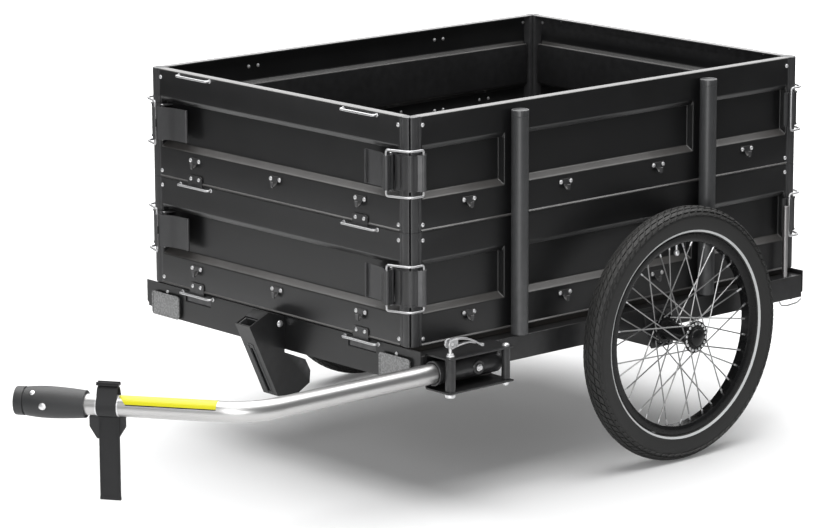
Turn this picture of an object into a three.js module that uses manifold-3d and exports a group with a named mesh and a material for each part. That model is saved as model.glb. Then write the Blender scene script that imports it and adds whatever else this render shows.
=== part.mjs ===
// Cargo bike trailer: two stacked levels of pressed sheet panels on a low chassis with two
// spoked wheels, a drawbar at the front left corner and a parking stand.
// Millimetres, +Z up. The drawbar points along -Y and the trailer's left side is +X.
import * as THREE from 'three';
import { mergeVertices } from 'three/addons/utils/BufferGeometryUtils.js';
import Module from 'manifold-3d';

const wasm = await Module();
wasm.setup();

// Shared clearances and plain counts
const seatGap = 0.3;
const overrun = 1;
const bondDepth = 0.3;
const half = 0.5;
const quarterTurn = Math.PI / 2;
const halfTurn = Math.PI;
const fullTurn = 2 * Math.PI;
const degree = Math.PI / 180;
const weldDistance = 1e-4;
const wireSides = 4;
const nutSides = 6;
const pinSides = 8;
const headSides = 10;
const roundSides = 12;
const arcSteps = 4;

// Box of panels
const boxWidth = 770;
const boxLength = 1030;
const boxBottom = 308;
const levelHeight = 215;
const sheet = 2;
const flangeDepth = 19;
const lowBandTop = 60;
const lowSlopeTop = 75;
const highSlopeFoot = 149;
const highSlopeTop = 160;
const recessDepth = 15;
const fieldMargin = 4;
const fieldSlope = 15;
const postWidth = 27;
const postRounding = 8;
const postArcSteps = 3;
const postWall = 2.5;

// Corner latches, placed from the outer corner of the box
const latchHeight = 111;
const keeperTall = 68;
const keeperReach = 36;
const keeperProud = 2.8;
const fluteDepth = 1.4;
const fluteSteps = 4;
const wireRadius = 2;
const wireHalfSpread = 43;
const bailPivotInboard = 40;
const bailPivotProud = 22;
const leverPivotInboard = 44;
const leverPivotProud = 7;
const leverTall = 64;
const leverEnd = 116;
const leverEndProud = 5;
const leverKneeInboard = 76;
const leverKneeProud = 5.5;
const leverSheet = 2.4;
const leverRoll = 3.4;
const leverRollTurn = 30 * degree;
const leverRollSweep = 240 * degree;
const bailBarrel = 5.5;
const bailBore = 2.4;
const pivotBarrel = 5;
const pivotBore = 2.9;
const pivotPin = 2.5;
const earSheet = 2.5;
const earWidth = 12;
const earSteps = 3;
const hookPlace = 26;
const hookProud = 9;
const hookBore = 2.9;
const hookWall = 1.8;
const hookLip = 110 * degree;
const bailTuck = 8;
const bailBend = 5;
const bailCurveStart = 8;
const bailCurveEnd = 15;

// Tie-down hooks, stacking tongues and bows
const hookPitch = 247;
const hookLevel = 46;
const hookWidth = 26;
const hookTall = 12;
const hookTongue = 9;
const hookDrop = 15;
const hookReach = 9;
const tongueOffset = 247;
const tongueWidth = 44;
const tongueTop = 17;
const tongueDrop = 20;
const tongueSheet = 2;
const bowSpan = 95;
const bowBelowTop = 6;
const bowProud = 10;
const bowWire = 2.4;
const bowBend = 7;

// Chassis
const railOverhang = 27;
const chassisSetback = 1;
const chassisTail = -1;
const plateSheet = 3;
const plateTop = 305.5;
const plateBottom = 240;
const plateChamferWide = 30;
const plateChamferTall = 22;
const railBottom = 251;
const railTop = 297;
const railWidth = 45;
const railSheet = 3;
const floorInset = 5;
const filmThick = 0.25;
const filmClearance = 1.5;
const reflectorWide = 80;
const reflectorTall = 41;
const reflectorDeep = 6;
const reflectorLift = 4;
const reflectorEdge = 27;
const reflectorCorner = 4;
const lensCornerSteps = 2;

// Stakes and flag tube
const stakeRadius = 16.5;
const stakeWall = 2;
const stakeSides = 12;
const stakeTop = 725;
const stakePitch = 500;
const stakeShift = -8;
const stakeCap = 3;
const stripWidth = 44;
const flagTubeRadius = 5.5;
const flagTubeWall = 1.2;
const flagTubeTall = 145;
const flagTubeSetback = 46;

// Wheels
const wheelRadius = 250;
const wheelOffset = 53;
const axlePlace = 110;
const tyreWidth = 47;
const tyreBead = 199;
const tyreShoulder = 224;
const rimOuter = 198;
const rimInner = 182;
const rimWidth = 28;
const rimWall = 3;
const wheelSteps = 28;
const tyreArcSteps = 6;
const hubSteps = 12;
const flangeSpacing = 80;
const flangeRadius = 31.5;
const flangeThick = 3;
const spokeCircle = 26;
const spokeRadius = 1.15;
const spokesPerSide = 18;
const spokeLeadHoles = 6;
const spokeSides = 3;
const spokeOffset = 2.2;
const hubBarrel = 14;
const hubCapRadius = 17;
const hubCapReach = 13;
const hubNoseShare = 0.75;
const hubBore = 6.4;
const stubRadius = 6;
const stubSides = 10;
const hubInnerReach = 4.6;
const hubCone = 8;

// Axle beam
const beamSize = 36;
const beamWall = 3;
const endPlateSheet = 4;
const endPlateLength = 96;
const endPlateTop = 288;
const endPlateFootLength = 56;
const endPlateShoulder = 268;

// Drawbar, coupling head and strap
const drawbarRadius = 19;
const drawbarWall = 2.5;
const drawbarLevel = 268;
const drawbarTuck = 21;
const drawbarForward = 417;
const drawbarBendRadius = 110;
const drawbarTurn = 54.5 * degree;
const drawbarEndAlong = 435;
const drawbarSides = 14;
const bendSteps = 5;
const headLength = 131;
const headFrontRadius = 24;
const headBellyRadius = 26.8;
const headRearRadius = 23;
const headBellyPlace = 52;
const headGroovePlace = 17;
const headGrooveWidth = 3.5;
const headGrooveDepth = 2;
const headSocketRadius = 12;
const headSocketDepth = 20;
const headFace = 1.5;
const headArcSteps = 3;
const strapAlong = 263;
const strapWidth = 38.5;
const strapLayer = 2.4;
const strapCrest = 30;
const strapDrop = 175;
const strapTailThick = 5;
const buckleWidth = 42;
const buckleTall = 9;
const buckleThick = 17;
const padWide = 66;
const padShift = 5;
const padTop = 6;
const padTall = 40;
const padShoulder = 18;
const padThick = 9;

// Drawbar socket on the left rail
const socketSetback = 11;
const socketLength = 162;
const socketSheet = 4;
const socketWebSheet = 3;
const socketHalfTall = 30;
const receiverRadius = 21;
const receiverGap = 0.4;
const spacerRadius = 10;
const spacerSetback = 14;
const rearSpacerRadius = 8;
const rearSpacerInset = 10;
const socketEdge = 1.5;
const skewerRadius = 3;
const skewerBore = 3.4;
const skewerNutRadius = 8;
const skewerNutTall = 8;
const skewerHeadTall = 7;
const camRadius = 9;
const camWidth = 15;
const camRise = 25;
const camLeverReach = 80;
const camLeverDroop = 15;
const camLeverSheet = 5;
const camLeverTipWidth = 11;
const camSlot = 6.6;
const boltRadius = 4;
const boltHeadRadius = 7.5;
const boltHeadTall = 5;
const plungerSetback = 93;
const plungerRadius = 5.5;
const plungerHead = 7;
const plungerHeadTall = 5;
const plungerBody = 4;

// Parking stand
const standNear = 20;
const standFar = -24;
const standWall = 2.5;
const standReach = 86;
const standTall = 158.5;
const standThroatDrop = 6;
const standPivotReachShare = 0.1395;
const standPivotDropShare = 0.0852;
const standPivotRadius = 4;
const standPivotHead = 7;
const standPivotHeadTall = 3.5;
const standSlotWidth = 8;
const standSlotTopShare = 0.33;
const standSlotFootShare = 0.95;
const standLegDeep = 22;
const standLegWall = 2.5;
const standLegLength = 160;
const standLegClear = 1;
const standFoot = 3;
const wingRadius = 3;
const wingReach = 13;
const wingTall = 9;
const wingSheet = 3;
const wingPlaceShare = 0.83;
const wingStem = 12;

// Outer faces of the rails and of the chassis end plates, and the planes of the wheels
const chassisHalfWidth = boxWidth * half + railOverhang;
const wheelPlane = chassisHalfWidth + wheelOffset;
const chassisFront = -boxLength * half + chassisSetback;
const chassisRear = boxLength * half + chassisTail;

// Places along the trailer that follow from the front plate
const drawbarCorner = chassisFront - drawbarForward;
const socketFront = chassisFront + socketSetback;
const socketRear = socketFront + socketLength;
const spacerFront = socketFront + spacerSetback;
const rearSpacerPlace = socketRear - rearSpacerInset;
const plungerPlace = socketFront + plungerSetback;
const drawbarRearEnd = socketRear - drawbarTuck;

// Outline of one cheek of the stand, in shares of its reach before the plate and of its
// height below it
const standFrontTopShares = [1, 0.0536];
const standFrontFootShares = [0.2093, 0.9811];
const standHeelShares = [-0.3488, 1];
const standRearFootShares = [-0.7093, 0.8927];
const standRearMidShares = [-0.7326, 0.7413];
const standRearTopShares = [-0.593, 0.5899];
const standMouthRearShares = [0.4535, -0.0789];

function standAt([reachShare, dropShare]) {
  return [chassisFront - standReach * reachShare, plateTop - standTall * dropShare];
}

const standFrontTop = standAt(standFrontTopShares);
const standFrontFoot = standAt(standFrontFootShares);
const standHeel = standAt(standHeelShares);
const standRearFoot = standAt(standRearFootShares);
const standRearMid = standAt(standRearMidShares);
const standRearTop = standAt(standRearTopShares);
const standMouthRear = standAt(standMouthRearShares);
const standThroat = [chassisFront - seatGap, plateBottom - standThroatDrop];
const standBack = [chassisFront - seatGap, plateTop];
const [standPivotPlace, standPivotLevel] = standAt([standPivotReachShare, standPivotDropShare]);

// Finishes
function finish(colour, roughness, metalness) {
  return new THREE.MeshStandardMaterial({ color: colour, roughness, metalness });
}

const powderBlack = finish(0x232425, 0.45, 0.4);
const railBlack = finish(0x1c1d1e, 0.5, 0.4);
const stakeGrey = finish(0x3a3b3c, 0.5, 0.5);
const floorGrey = finish(0x2c2a28, 0.7, 0.1);
const chromeWire = finish(0xd8dadc, 0.15, 1.0);
const brightSteel = finish(0xb9bcc0, 0.3, 1.0);
const bareTube = finish(0xc6c8ca, 0.35, 1.0);
const tyreBlack = finish(0x1b1c1b, 0.85, 0.0);
const rimBlack = finish(0x141516, 0.35, 0.6);
const headBlack = finish(0x2a2b2c, 0.55, 0.0);
const webbing = finish(0x202122, 0.9, 0.0);
const padBlack = finish(0x262728, 0.8, 0.0);
const clearLens = finish(0xd9dcdd, 0.2, 0.0);
const redLens = finish(0x8c1412, 0.2, 0.0);

// Joining and cutting of closed solids
function solidOf(geometry) {
  const bare = geometry.clone();
  bare.deleteAttribute('normal');
  bare.deleteAttribute('uv');
  const merged = mergeVertices(bare, weldDistance);
  return new wasm.Manifold(new wasm.Mesh({
    numProp: 3,
    vertProperties: new Float32Array(merged.attributes.position.array),
    triVerts: new Uint32Array(merged.index.array),
  }));
}

function geometryOf(solid) {
  const mesh = solid.getMesh();
  const geometry = new THREE.BufferGeometry();
  geometry.setAttribute('position', new THREE.BufferAttribute(new Float32Array(mesh.vertProperties), 3));
  geometry.setIndex(new THREE.BufferAttribute(new Uint32Array(mesh.triVerts), 1));
  geometry.computeVertexNormals();
  return geometry;
}

function fused(...geometries) {
  const solids = geometries.map(solidOf);
  return geometryOf(solids.reduce((sum, next) => sum.add(next)));
}

function cut(body, ...tools) {
  const solids = tools.map(solidOf);
  return geometryOf(solids.reduce((rest, next) => rest.subtract(next), solidOf(body)));
}

// Prisms along each axis, from outlines listed as pairs
function shapeOf(outline, hole) {
  const shape = new THREE.Shape(outline.map(([a, b]) => new THREE.Vector2(a, b)));
  if (hole) {
    shape.holes.push(new THREE.Path(hole.map(([a, b]) => new THREE.Vector2(a, b))));
  }
  return shape;
}

function prismZ(outline, low, high, hole) {
  const depth = high - low;
  const geometry = new THREE.ExtrudeGeometry(shapeOf(outline, hole), { depth, bevelEnabled: false });
  return geometry.translate(0, 0, low);
}

function prismX(outline, low, high, hole) {
  const turned = new THREE.Matrix4().makeBasis(
    new THREE.Vector3(0, 1, 0), new THREE.Vector3(0, 0, 1), new THREE.Vector3(1, 0, 0));
  return prismZ(outline, low, high, hole).applyMatrix4(turned);
}

function prismY(outline, low, high, hole) {
  const turned = new THREE.Matrix4().makeBasis(
    new THREE.Vector3(1, 0, 0), new THREE.Vector3(0, 0, 1), new THREE.Vector3(0, -1, 0));
  return prismZ(outline, -high, -low, hole).applyMatrix4(turned);
}

function boxOf(x0, x1, y0, y1, z0, z1) {
  const geometry = new THREE.BoxGeometry(x1 - x0, y1 - y0, z1 - z0);
  return geometry.translate((x0 + x1) * half, (y0 + y1) * half, (z0 + z1) * half);
}

function rodAlong(start, end, radius, sides, endRadius = radius) {
  const from = new THREE.Vector3(...start);
  const to = new THREE.Vector3(...end);
  const geometry = new THREE.CylinderGeometry(endRadius, radius, from.distanceTo(to), sides);
  const along = to.clone().sub(from).normalize();
  geometry.applyQuaternion(new THREE.Quaternion().setFromUnitVectors(new THREE.Vector3(0, 1, 0), along));
  const middle = from.clone().add(to).multiplyScalar(half);
  return geometry.translate(middle.x, middle.y, middle.z);
}

function tubeAlong(start, end, radius, wall, sides) {
  const from = new THREE.Vector3(...start);
  const to = new THREE.Vector3(...end);
  const along = to.clone().sub(from).normalize().multiplyScalar(overrun);
  const bore = rodAlong(from.clone().sub(along).toArray(), to.clone().add(along).toArray(),
    radius - wall, sides);
  return cut(rodAlong(start, end, radius, sides), bore);
}

function circleOf(centre, radius, sides, start = 0, sweep = fullTurn) {
  const closed = Math.abs(sweep) >= fullTurn;
  const count = closed ? sides : sides + 1;
  return Array.from({ length: count }, (_, i) => {
    const angle = start + sweep * i / sides;
    return [centre[0] + radius * Math.cos(angle), centre[1] + radius * Math.sin(angle)];
  });
}

// A strip of even thickness along a bent line
function stripOf(line, thick) {
  const side = (sign) => line.map((point, i) => {
    const before = line[Math.max(i - 1, 0)];
    const after = line[Math.min(i + 1, line.length - 1)];
    const run = Math.hypot(after[0] - before[0], after[1] - before[1]);
    const across = [-(after[1] - before[1]) / run, (after[0] - before[0]) / run];
    return [point[0] + sign * across[0] * thick * half, point[1] + sign * across[1] * thick * half];
  });
  return [...side(-1), ...side(1).reverse()];
}

// A wire that passes through every listed point
class WirePath extends THREE.Curve {
  constructor(points) {
    super();
    this.points = points.map((point) => new THREE.Vector3(...point));
  }

  getPoint(t, target = new THREE.Vector3()) {
    const place = t * (this.points.length - 1);
    const index = Math.min(Math.floor(place + Number.EPSILON), this.points.length - 2);
    return target.lerpVectors(this.points[index], this.points[index + 1], place - index);
  }

  getPointAt(u, target) {
    return this.getPoint(u, target);
  }

  getTangentAt(u, target = new THREE.Vector3()) {
    const index = Math.round(u * (this.points.length - 1));
    const before = this.points[Math.max(index - 1, 0)];
    const after = this.points[Math.min(index + 1, this.points.length - 1)];
    const into = this.points[index].clone().sub(before).normalize();
    const out = after.clone().sub(this.points[index]).normalize();
    return target.copy(into.add(out).normalize());
  }
}

function wireAlong(points, radius, sides) {
  const section = new THREE.Shape(circleOf([0, 0], radius, sides).map(([a, b]) => new THREE.Vector2(a, b)));
  const path = new WirePath(points);
  return new THREE.ExtrudeGeometry(section, { steps: points.length - 1, extrudePath: path,
    bevelEnabled: false });
}

// Lathe about Z from pairs of radius and height that close on themselves
function turned(profile, steps) {
  const closedProfile = [...profile, profile[0]].map(([radius, height]) => new THREE.Vector2(radius,
    height));
  const geometry = new THREE.LatheGeometry(closedProfile, steps);
  return geometry.rotateX(quarterTurn);
}

function named(name, geometry, material) {
  const mesh = new THREE.Mesh(geometry, material.clone());
  mesh.name = name;
  return mesh;
}

// One pressed panel, seen from outside: X runs along it, Y points into the box, Z is up from its foot
const panelTall = levelHeight - seatGap;

// A tray with sloping walls, let into the face by the given depth; grow widens it by the sheet
function pressedTray(start, end, depth, grow) {
  const away = -grow;
  const near = grow > 0 ? bondDepth : -overrun;
  const rise = near / recessDepth;
  const lowRun = lowSlopeTop - lowBandTop;
  const highRun = highSlopeTop - highSlopeFoot;
  const rim = [[start + away + fieldSlope * rise, lowBandTop + away + lowRun * rise],
    [end - away - fieldSlope * rise, lowBandTop + away + lowRun * rise],
    [end - away - fieldSlope * rise, highSlopeTop - away - highRun * rise],
    [start + away + fieldSlope * rise, highSlopeTop - away - highRun * rise]];
  const floor = [[start + away + fieldSlope, lowSlopeTop + away], [end - away - fieldSlope,
    lowSlopeTop + away],
    [end - away - fieldSlope, highSlopeFoot - away], [start + away + fieldSlope, highSlopeFoot - away]];
  const corners = [...rim.map(([x, z]) => [x, near, z]), ...floor.map(([x, z]) => [x, depth, z])];
  const sides = [0, 1, 2, 3].flatMap((i) => {
    const next = (i + 1) % 4;
    return [i, i + 4, next, next, i + 4, next + 4];
  });
  const geometry = new THREE.BufferGeometry();
  geometry.setAttribute('position', new THREE.Float32BufferAttribute(corners.flat(), 3));
  geometry.setIndex([0, 1, 2, 0, 2, 3, 4, 6, 5, 4, 7, 6, ...sides]);
  return geometry;
}

function pressedSheet(length, strips) {
  const end = length * half - postWidth + bondDepth;
  const fieldEdge = length * half - postWidth - fieldMargin;
  const edges = [-fieldEdge, ...strips.flatMap((place) => [place - stripWidth * half,
    place + stripWidth * half]),
    fieldEdge];
  const section = [[flangeDepth, 0], [0, 0], [0, panelTall], [flangeDepth, panelTall],
    [flangeDepth, panelTall - sheet], [sheet, panelTall - sheet], [sheet, sheet], [flangeDepth,
    sheet]].reverse();
  const fields = edges.filter((_, i) => i % 2 === 0).map((start, i) => [start, edges[i * 2 + 1]]);
  const skin = prismX(section, -end, end);
  const backs = fields.map(([start, stop]) => pressedTray(start, stop, recessDepth + sheet, sheet));
  const fronts = fields.map(([start, stop]) => pressedTray(start, stop, recessDepth, 0));
  return cut(fused(skin, ...backs), ...fronts);
}

// Half of a mitred corner post with its fluted latch plate, at the panel's +X end
function endPost(length) {
  const corner = length * half;
  const lap = seatGap * half / Math.SQRT2;
  const face = circleOf([corner - postRounding, postRounding], postRounding, postArcSteps, -quarterTurn,
    quarterTurn * half);
  const seam = ([x, y]) => [x - lap, y - lap];
  const outline = [[corner - postWidth, 0], ...face.slice(0, -1), seam(face[face.length - 1]),
    seam([corner - flangeDepth, flangeDepth]), [corner - postWidth, flangeDepth]];
  const middle = [corner - postWidth * half - fieldMargin, flangeDepth * half];
  const core = outline.map(([x, y]) => {
    const away = Math.hypot(x - middle[0], y - middle[1]);
    const share = (away - postWall * Math.SQRT2) / away;
    return [middle[0] + (x - middle[0]) * share, middle[1] + (y - middle[1]) * share];
  });
  const post = cut(prismZ(outline, 0, panelTall), prismZ(core, -overrun, panelTall - postWall));
  const low = latchHeight - keeperTall * half;
  return fused(post, prismZ(flutedPlate(corner, lap), low, low + keeperTall));
}

function flutedPlate(corner, lap) {
  const start = corner - keeperReach;
  const straight = corner - postRounding - start;
  const wave = Array.from({ length: fluteSteps + 1 }, (_, i) => {
    const swell = i % 2 === 0 ? 0 : fluteDepth;
    return [start + straight * i / fluteSteps, -keeperProud - swell];
  });
  const bend = circleOf([corner - postRounding, postRounding], postRounding + keeperProud, postArcSteps,
    -quarterTurn,
    quarterTurn * half).slice(1);
  const rim = bend[bend.length - 1];
  const foot = postRounding - (postRounding - bondDepth) / Math.SQRT2;
  return [[start, bondDepth], ...wave, ...bend.slice(0, -1), [rim[0] - lap, rim[1] - lap],
    [corner - foot - lap, foot - lap], [corner - postRounding, bondDepth]];
}

// The hook that the bail drops behind, on the side panel's end
function bailHook(length) {
  const corner = length * half;
  const centre = [corner - hookPlace, -hookProud];
  const inner = circleOf(centre, hookBore, arcSteps, -hookLip, hookLip + quarterTurn);
  const outer = circleOf(centre, hookBore + hookWall, arcSteps, -hookLip, hookLip + quarterTurn);
  const low = latchHeight - keeperTall * half;
  const curl = prismZ([...outer, ...inner.reverse()], low, low + keeperTall);
  const seat = hookBore + hookWall * half - hookProud;
  const foot = prismZ([[centre[0], seat], [centre[0] + hookBore + hookWall, seat],
    [centre[0] + hookBore + hookWall, bondDepth], [centre[0], bondDepth]], low, low + keeperTall);
  return fused(curl, foot);
}

// Ears and pin that carry the latch lever, on the end panel
function latchEars(length) {
  const centre = [length * half - leverPivotInboard, -leverPivotProud];
  const reach = leverPivotProud + pivotPin + fieldMargin * half;
  const inside = recessDepth + sheet * half;
  const ear = [[centre[0] - earWidth * half, inside], [centre[0] - earWidth * half,
    -reach + earWidth * half],
    ...circleOf([centre[0], -reach + earWidth * half], earWidth * half, earSteps, halfTurn,
    halfTurn).slice(1, -1),
    [centre[0] + earWidth * half, -reach + earWidth * half], [centre[0] + earWidth * half, inside]];
  const gap = leverTall * half + 2 * seatGap;
  const ears = [-1, 1].map((sign) => {
    const near = latchHeight + sign * gap;
    const far = near + sign * earSheet;
    return prismZ(ear, Math.min(near, far), Math.max(near, far));
  });
  const pin = prismZ(circleOf(centre, pivotPin, nutSides), latchHeight - gap - bondDepth,
    latchHeight + gap + bondDepth);
  return fused(ears[0], ears[1], pin);
}

// Tie-down hook: riveted plate with a tongue bent out and up
function tieHook(place) {
  const plate = boxOf(place - hookWidth * half, place + hookWidth * half, -sheet, bondDepth,
    hookLevel - hookTall * half, hookLevel + hookTall * half);
  const line = [[-sheet * half, hookLevel - hookTall * half], [-hookReach, hookLevel - hookDrop],
    [-hookReach, hookLevel]];
  const tongue = prismX(stripOf(line, sheet), place - hookTongue * half, place + hookTongue * half);
  return fused(plate, tongue);
}

// Tongue that drops behind the bow of the level below
function stackTongue(place) {
  const gap = seatGap + bondDepth;
  const outline = [[bondDepth, tongueTop], [-tongueSheet - gap, tongueTop], [-tongueSheet - gap,
    -tongueDrop],
    [-gap, -tongueDrop], [-gap, 0], [bondDepth, 0]];
  return prismX(outline, place - tongueWidth * half, place + tongueWidth * half);
}

// Wire bow across the top of a panel or chassis plate
function stackBow(place, level, back) {
  const side = bowSpan * half;
  const row = (sign) => [[place + sign * side, back, level], [place + sign * side, -bowProud + bowBend,
    level],
    [place + sign * (side - bowBend), -bowProud, level]];
  return wireAlong([...row(-1), ...row(1).reverse()], bowWire, wireSides);
}

function mirrorX(geometry) {
  const copy = geometry.clone().scale(-1, 1, 1);
  const index = copy.index ? Array.from(copy.index.array) : [...copy.attributes.position.array.keys()]
    .slice(0, copy.attributes.position.count);
  for (let i = 0; i < index.length; i += 3) {
    [index[i], index[i + 1]] = [index[i + 1], index[i]];
  }
  copy.setIndex(index);
  return copy;
}

function endPanel() {
  const post = fused(endPost(boxWidth), latchEars(boxWidth));
  const hooks = [-hookPitch, 0, hookPitch].map(tieHook);
  const tongues = [-tongueOffset, tongueOffset].map(stackTongue);
  const bows = [-tongueOffset, tongueOffset].map((place) => stackBow(place, panelTall - bowBelowTop,
    sheet * half));
  return fused(pressedSheet(boxWidth, []), post, mirrorX(post), ...hooks, ...tongues, ...bows);
}

function sidePanel(strips) {
  const post = fused(endPost(boxLength), bailHook(boxLength));
  const places = [-1, 1].flatMap((sign) => [sign * hookPitch * half, sign * hookPitch * (1 + half)]);
  return fused(pressedSheet(boxLength, strips), post, mirrorX(post), ...places.map(tieHook));
}

// Latch lever, seen at the panel's +X end, about its own pivot at the origin
function latchLever() {
  const at = (inboard, proud) => [leverPivotInboard - inboard, leverPivotProud - proud];
  const bail = at(bailPivotInboard, bailPivotProud);
  const tall = leverTall * half;
  const lean = Math.atan2(bail[1], bail[0]);
  const outerPlate = stripOf([at(leverEnd, leverEndProud), at(leverKneeInboard + leverRoll, leverKneeProud),
    at(leverKneeInboard - leverRoll, leverKneeProud + leverSheet),
    [bail[0] - bailBarrel, bail[1] + leverSheet]], leverSheet);
  const count = outerPlate.length * half;
  const roll = circleOf(at(leverEnd, leverEndProud), leverRoll, arcSteps, quarterTurn - leverRollTurn,
    leverRollSweep);
  const outline = [...roll, ...outerPlate.slice(1, count),
    ...circleOf(bail, bailBarrel, arcSteps, -halfTurn + quarterTurn * half, halfTurn),
    ...circleOf([0, 0], pivotBarrel, arcSteps, lean + quarterTurn, halfTurn),
    ...outerPlate.slice(count, -1)];
  return cut(prismZ(outline, -tall, tall),
    prismZ(circleOf([0, 0], pivotBore, nutSides), -tall - overrun, tall + overrun),
    prismZ(circleOf(bail, bailBore, pinSides), -tall - overrun, tall + overrun));
}

// Wire bail, about its own pivot, running round the corner to the hook
function latchBail() {
  const at = (x, y) => [x + bailPivotInboard, y + bailPivotProud];
  const foot = at(-bailPivotInboard, -bailPivotProud);
  const end = at(hookProud, hookPlace);
  const plan = [at(-bailPivotInboard + bailBend, -bailPivotProud), at(-bailCurveStart,
    wireRadius - bailPivotProud),
    at(bailCurveStart + wireRadius, -bailCurveEnd), at(bailCurveEnd, 0),
    at(hookProud + wireRadius, hookPlace - bailBend)];
  const row = (sign) => [[...foot, sign * bailTuck], [...foot, sign * (wireHalfSpread - bailBend)],
    ...plan.map(([x, y], i) => [x, y,
    sign * (wireHalfSpread - (i === 0 || i === plan.length - 1 ? half : 0))]),
    [...end, sign * (wireHalfSpread - bailBend)]];
  return wireAlong([...row(1), ...row(-1).reverse()], wireRadius, wireSides);
}

function buildLevel(prefix, foot) {
  const level = new THREE.Group();
  level.position.z = foot;
  const panel = (name, geometry, x, y, turn) => {
    const mesh = named(`${prefix}_${name}_panel`, geometry, powderBlack);
    mesh.position.set(x, y, 0);
    mesh.rotation.z = turn;
    level.add(mesh);
  };
  const ends = endPanel();
  panel('front', ends, 0, -boxLength * half, 0);
  panel('rear', ends, 0, boxLength * half, halfTurn);
  const strips = [-stakePitch * half + stakeShift, stakePitch * half + stakeShift];
  panel('left', sidePanel(strips), boxWidth * half, 0, quarterTurn);
  panel('right', sidePanel(strips.map((place) => -place).reverse()), -boxWidth * half, 0, -quarterTurn);
  const corners = [['front_left', 0, 1, -1], ['front_right', 1, -1, -1], ['rear_left', 2, 1, 1],
    ['rear_right', 3, -1, 1]];
  for (const [name, index, sideX, sideY] of corners) {
    const turnX = index === 2 ? halfTurn : 0;
    const turnY = index === 1 ? halfTurn : 0;
    const turnZ = index === 3 ? halfTurn : 0;
    const place = (part, inboard, proud, geometry, material) => {
      const mesh = named(`${prefix}_${name}_${part}`, geometry, material);
      mesh.position.set(sideX * (boxWidth * half - inboard), sideY * (boxLength * half + proud),
      latchHeight);
      mesh.rotation.set(turnX, turnY, turnZ);
      level.add(mesh);
    };
    place('lever', leverPivotInboard, leverPivotProud, latchLever(), powderBlack);
    place('bail', bailPivotInboard, bailPivotProud, latchBail(), chromeWire);
  }
  return level;
}

// Chassis of two rails, two end plates and the floor
function chassisPlate() {
  const side = chassisHalfWidth;
  const outline = [[-side, plateTop], [-side, plateBottom + plateChamferTall], [-side + plateChamferWide,
    plateBottom],
    [side - plateChamferWide, plateBottom], [side, plateBottom + plateChamferTall], [side, plateTop]];
  const plate = prismY(outline, 0, plateSheet);
  const bows = [-tongueOffset, tongueOffset].map((place) => stackBow(place, plateTop - bowBelowTop,
    plateSheet * half));
  return fused(plate, ...bows);
}

function buildChassis() {
  const chassis = new THREE.Group();
  const front = named('front_plate', chassisPlate(), railBlack);
  front.position.y = chassisFront;
  const rear = named('rear_plate', chassisPlate(), railBlack);
  rear.position.y = chassisRear;
  rear.rotation.z = halfTurn;
  chassis.add(front, rear);
  const web = chassisHalfWidth - railSheet;
  const toe = chassisHalfWidth - railWidth;
  const section = [[toe, railBottom], [chassisHalfWidth, railBottom], [chassisHalfWidth, railTop], [toe,
    railTop],
    [toe, railTop - railSheet], [web, railTop - railSheet], [web, railBottom + railSheet],
    [toe, railBottom + railSheet]];
  const low = chassisFront + plateSheet + seatGap;
  const high = chassisRear - plateSheet - seatGap;
  const rail = prismY(section, low, high);
  chassis.add(named('left_rail', rail, railBlack));
  chassis.add(named('right_rail', mirrorX(rail), railBlack));
  chassis.add(named('floor_sheet', floorBoard(), floorGrey));
  return chassis;
}

// Board whose slip-resistant film covers the middle and stops short of the panels' folded feet
function floorBoard() {
  const side = boxWidth * half - floorInset;
  const end = boxLength * half - floorInset;
  const filmSide = boxWidth * half - flangeDepth - filmClearance;
  const filmEnd = boxLength * half - flangeDepth - filmClearance;
  const top = boxBottom - seatGap;
  return fused(boxOf(-side, side, -end, end, railTop + seatGap, top),
    boxOf(-filmSide, filmSide, -filmEnd, filmEnd, top - filmThick, top + filmThick));
}

function roundedPlate(wide, tall, radius) {
  const corners = [[wide - radius, radius, -quarterTurn], [wide - radius, tall - radius, 0],
    [radius, tall - radius, quarterTurn], [radius, radius, halfTurn]];
  return corners.flatMap(([x, z, start]) => circleOf([x, z], radius, lensCornerSteps, start, quarterTurn));
}

function buildReflectors() {
  const group = new THREE.Group();
  const lens = prismY(roundedPlate(reflectorWide, reflectorTall, reflectorCorner), -reflectorDeep, 0);
  const left = chassisHalfWidth - reflectorEdge - reflectorWide;
  const places = [['left_front_reflector', left, chassisFront - seatGap, 0, clearLens],
    ['right_front_reflector', -left - reflectorWide, chassisFront - seatGap, 0, clearLens],
    ['left_rear_reflector', left + reflectorWide, chassisRear + seatGap, halfTurn, redLens],
    ['right_rear_reflector', -left, chassisRear + seatGap, halfTurn, redLens]];
  for (const [name, x, y, turn, material] of places) {
    const mesh = named(name, lens, material);
    mesh.position.set(x, y, plateBottom + reflectorLift);
    mesh.rotation.z = turn;
    group.add(mesh);
  }
  return group;
}

function buildStakes() {
  const group = new THREE.Group();
  const plane = boxWidth * half + seatGap + sheet + stakeRadius;
  const foot = railTop + seatGap;
  const stake = cut(rodAlong([0, 0, foot], [0, 0, stakeTop], stakeRadius, stakeSides),
    rodAlong([0, 0, foot - overrun], [0, 0, stakeTop - stakeCap], stakeRadius - stakeWall, stakeSides));
  const places = [['front', -stakePitch * half + stakeShift], ['rear', stakePitch * half + stakeShift]];
  for (const [name, y] of places) {
    for (const [side, sign] of [['left', 1], ['right', -1]]) {
      const mesh = named(`${side}_${name}_stake`, stake, stakeGrey);
      mesh.position.set(sign * plane, y, 0);
      group.add(mesh);
    }
  }
  const tube = tubeAlong([0, 0, foot], [0, 0, foot + flagTubeTall], flagTubeRadius, flagTubeWall, pinSides);
  const flag = named('flag_tube', tube, bareTube);
  flag.position.set(plane, chassisRear - flagTubeSetback, 0);
  group.add(flag);
  return group;
}

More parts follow.
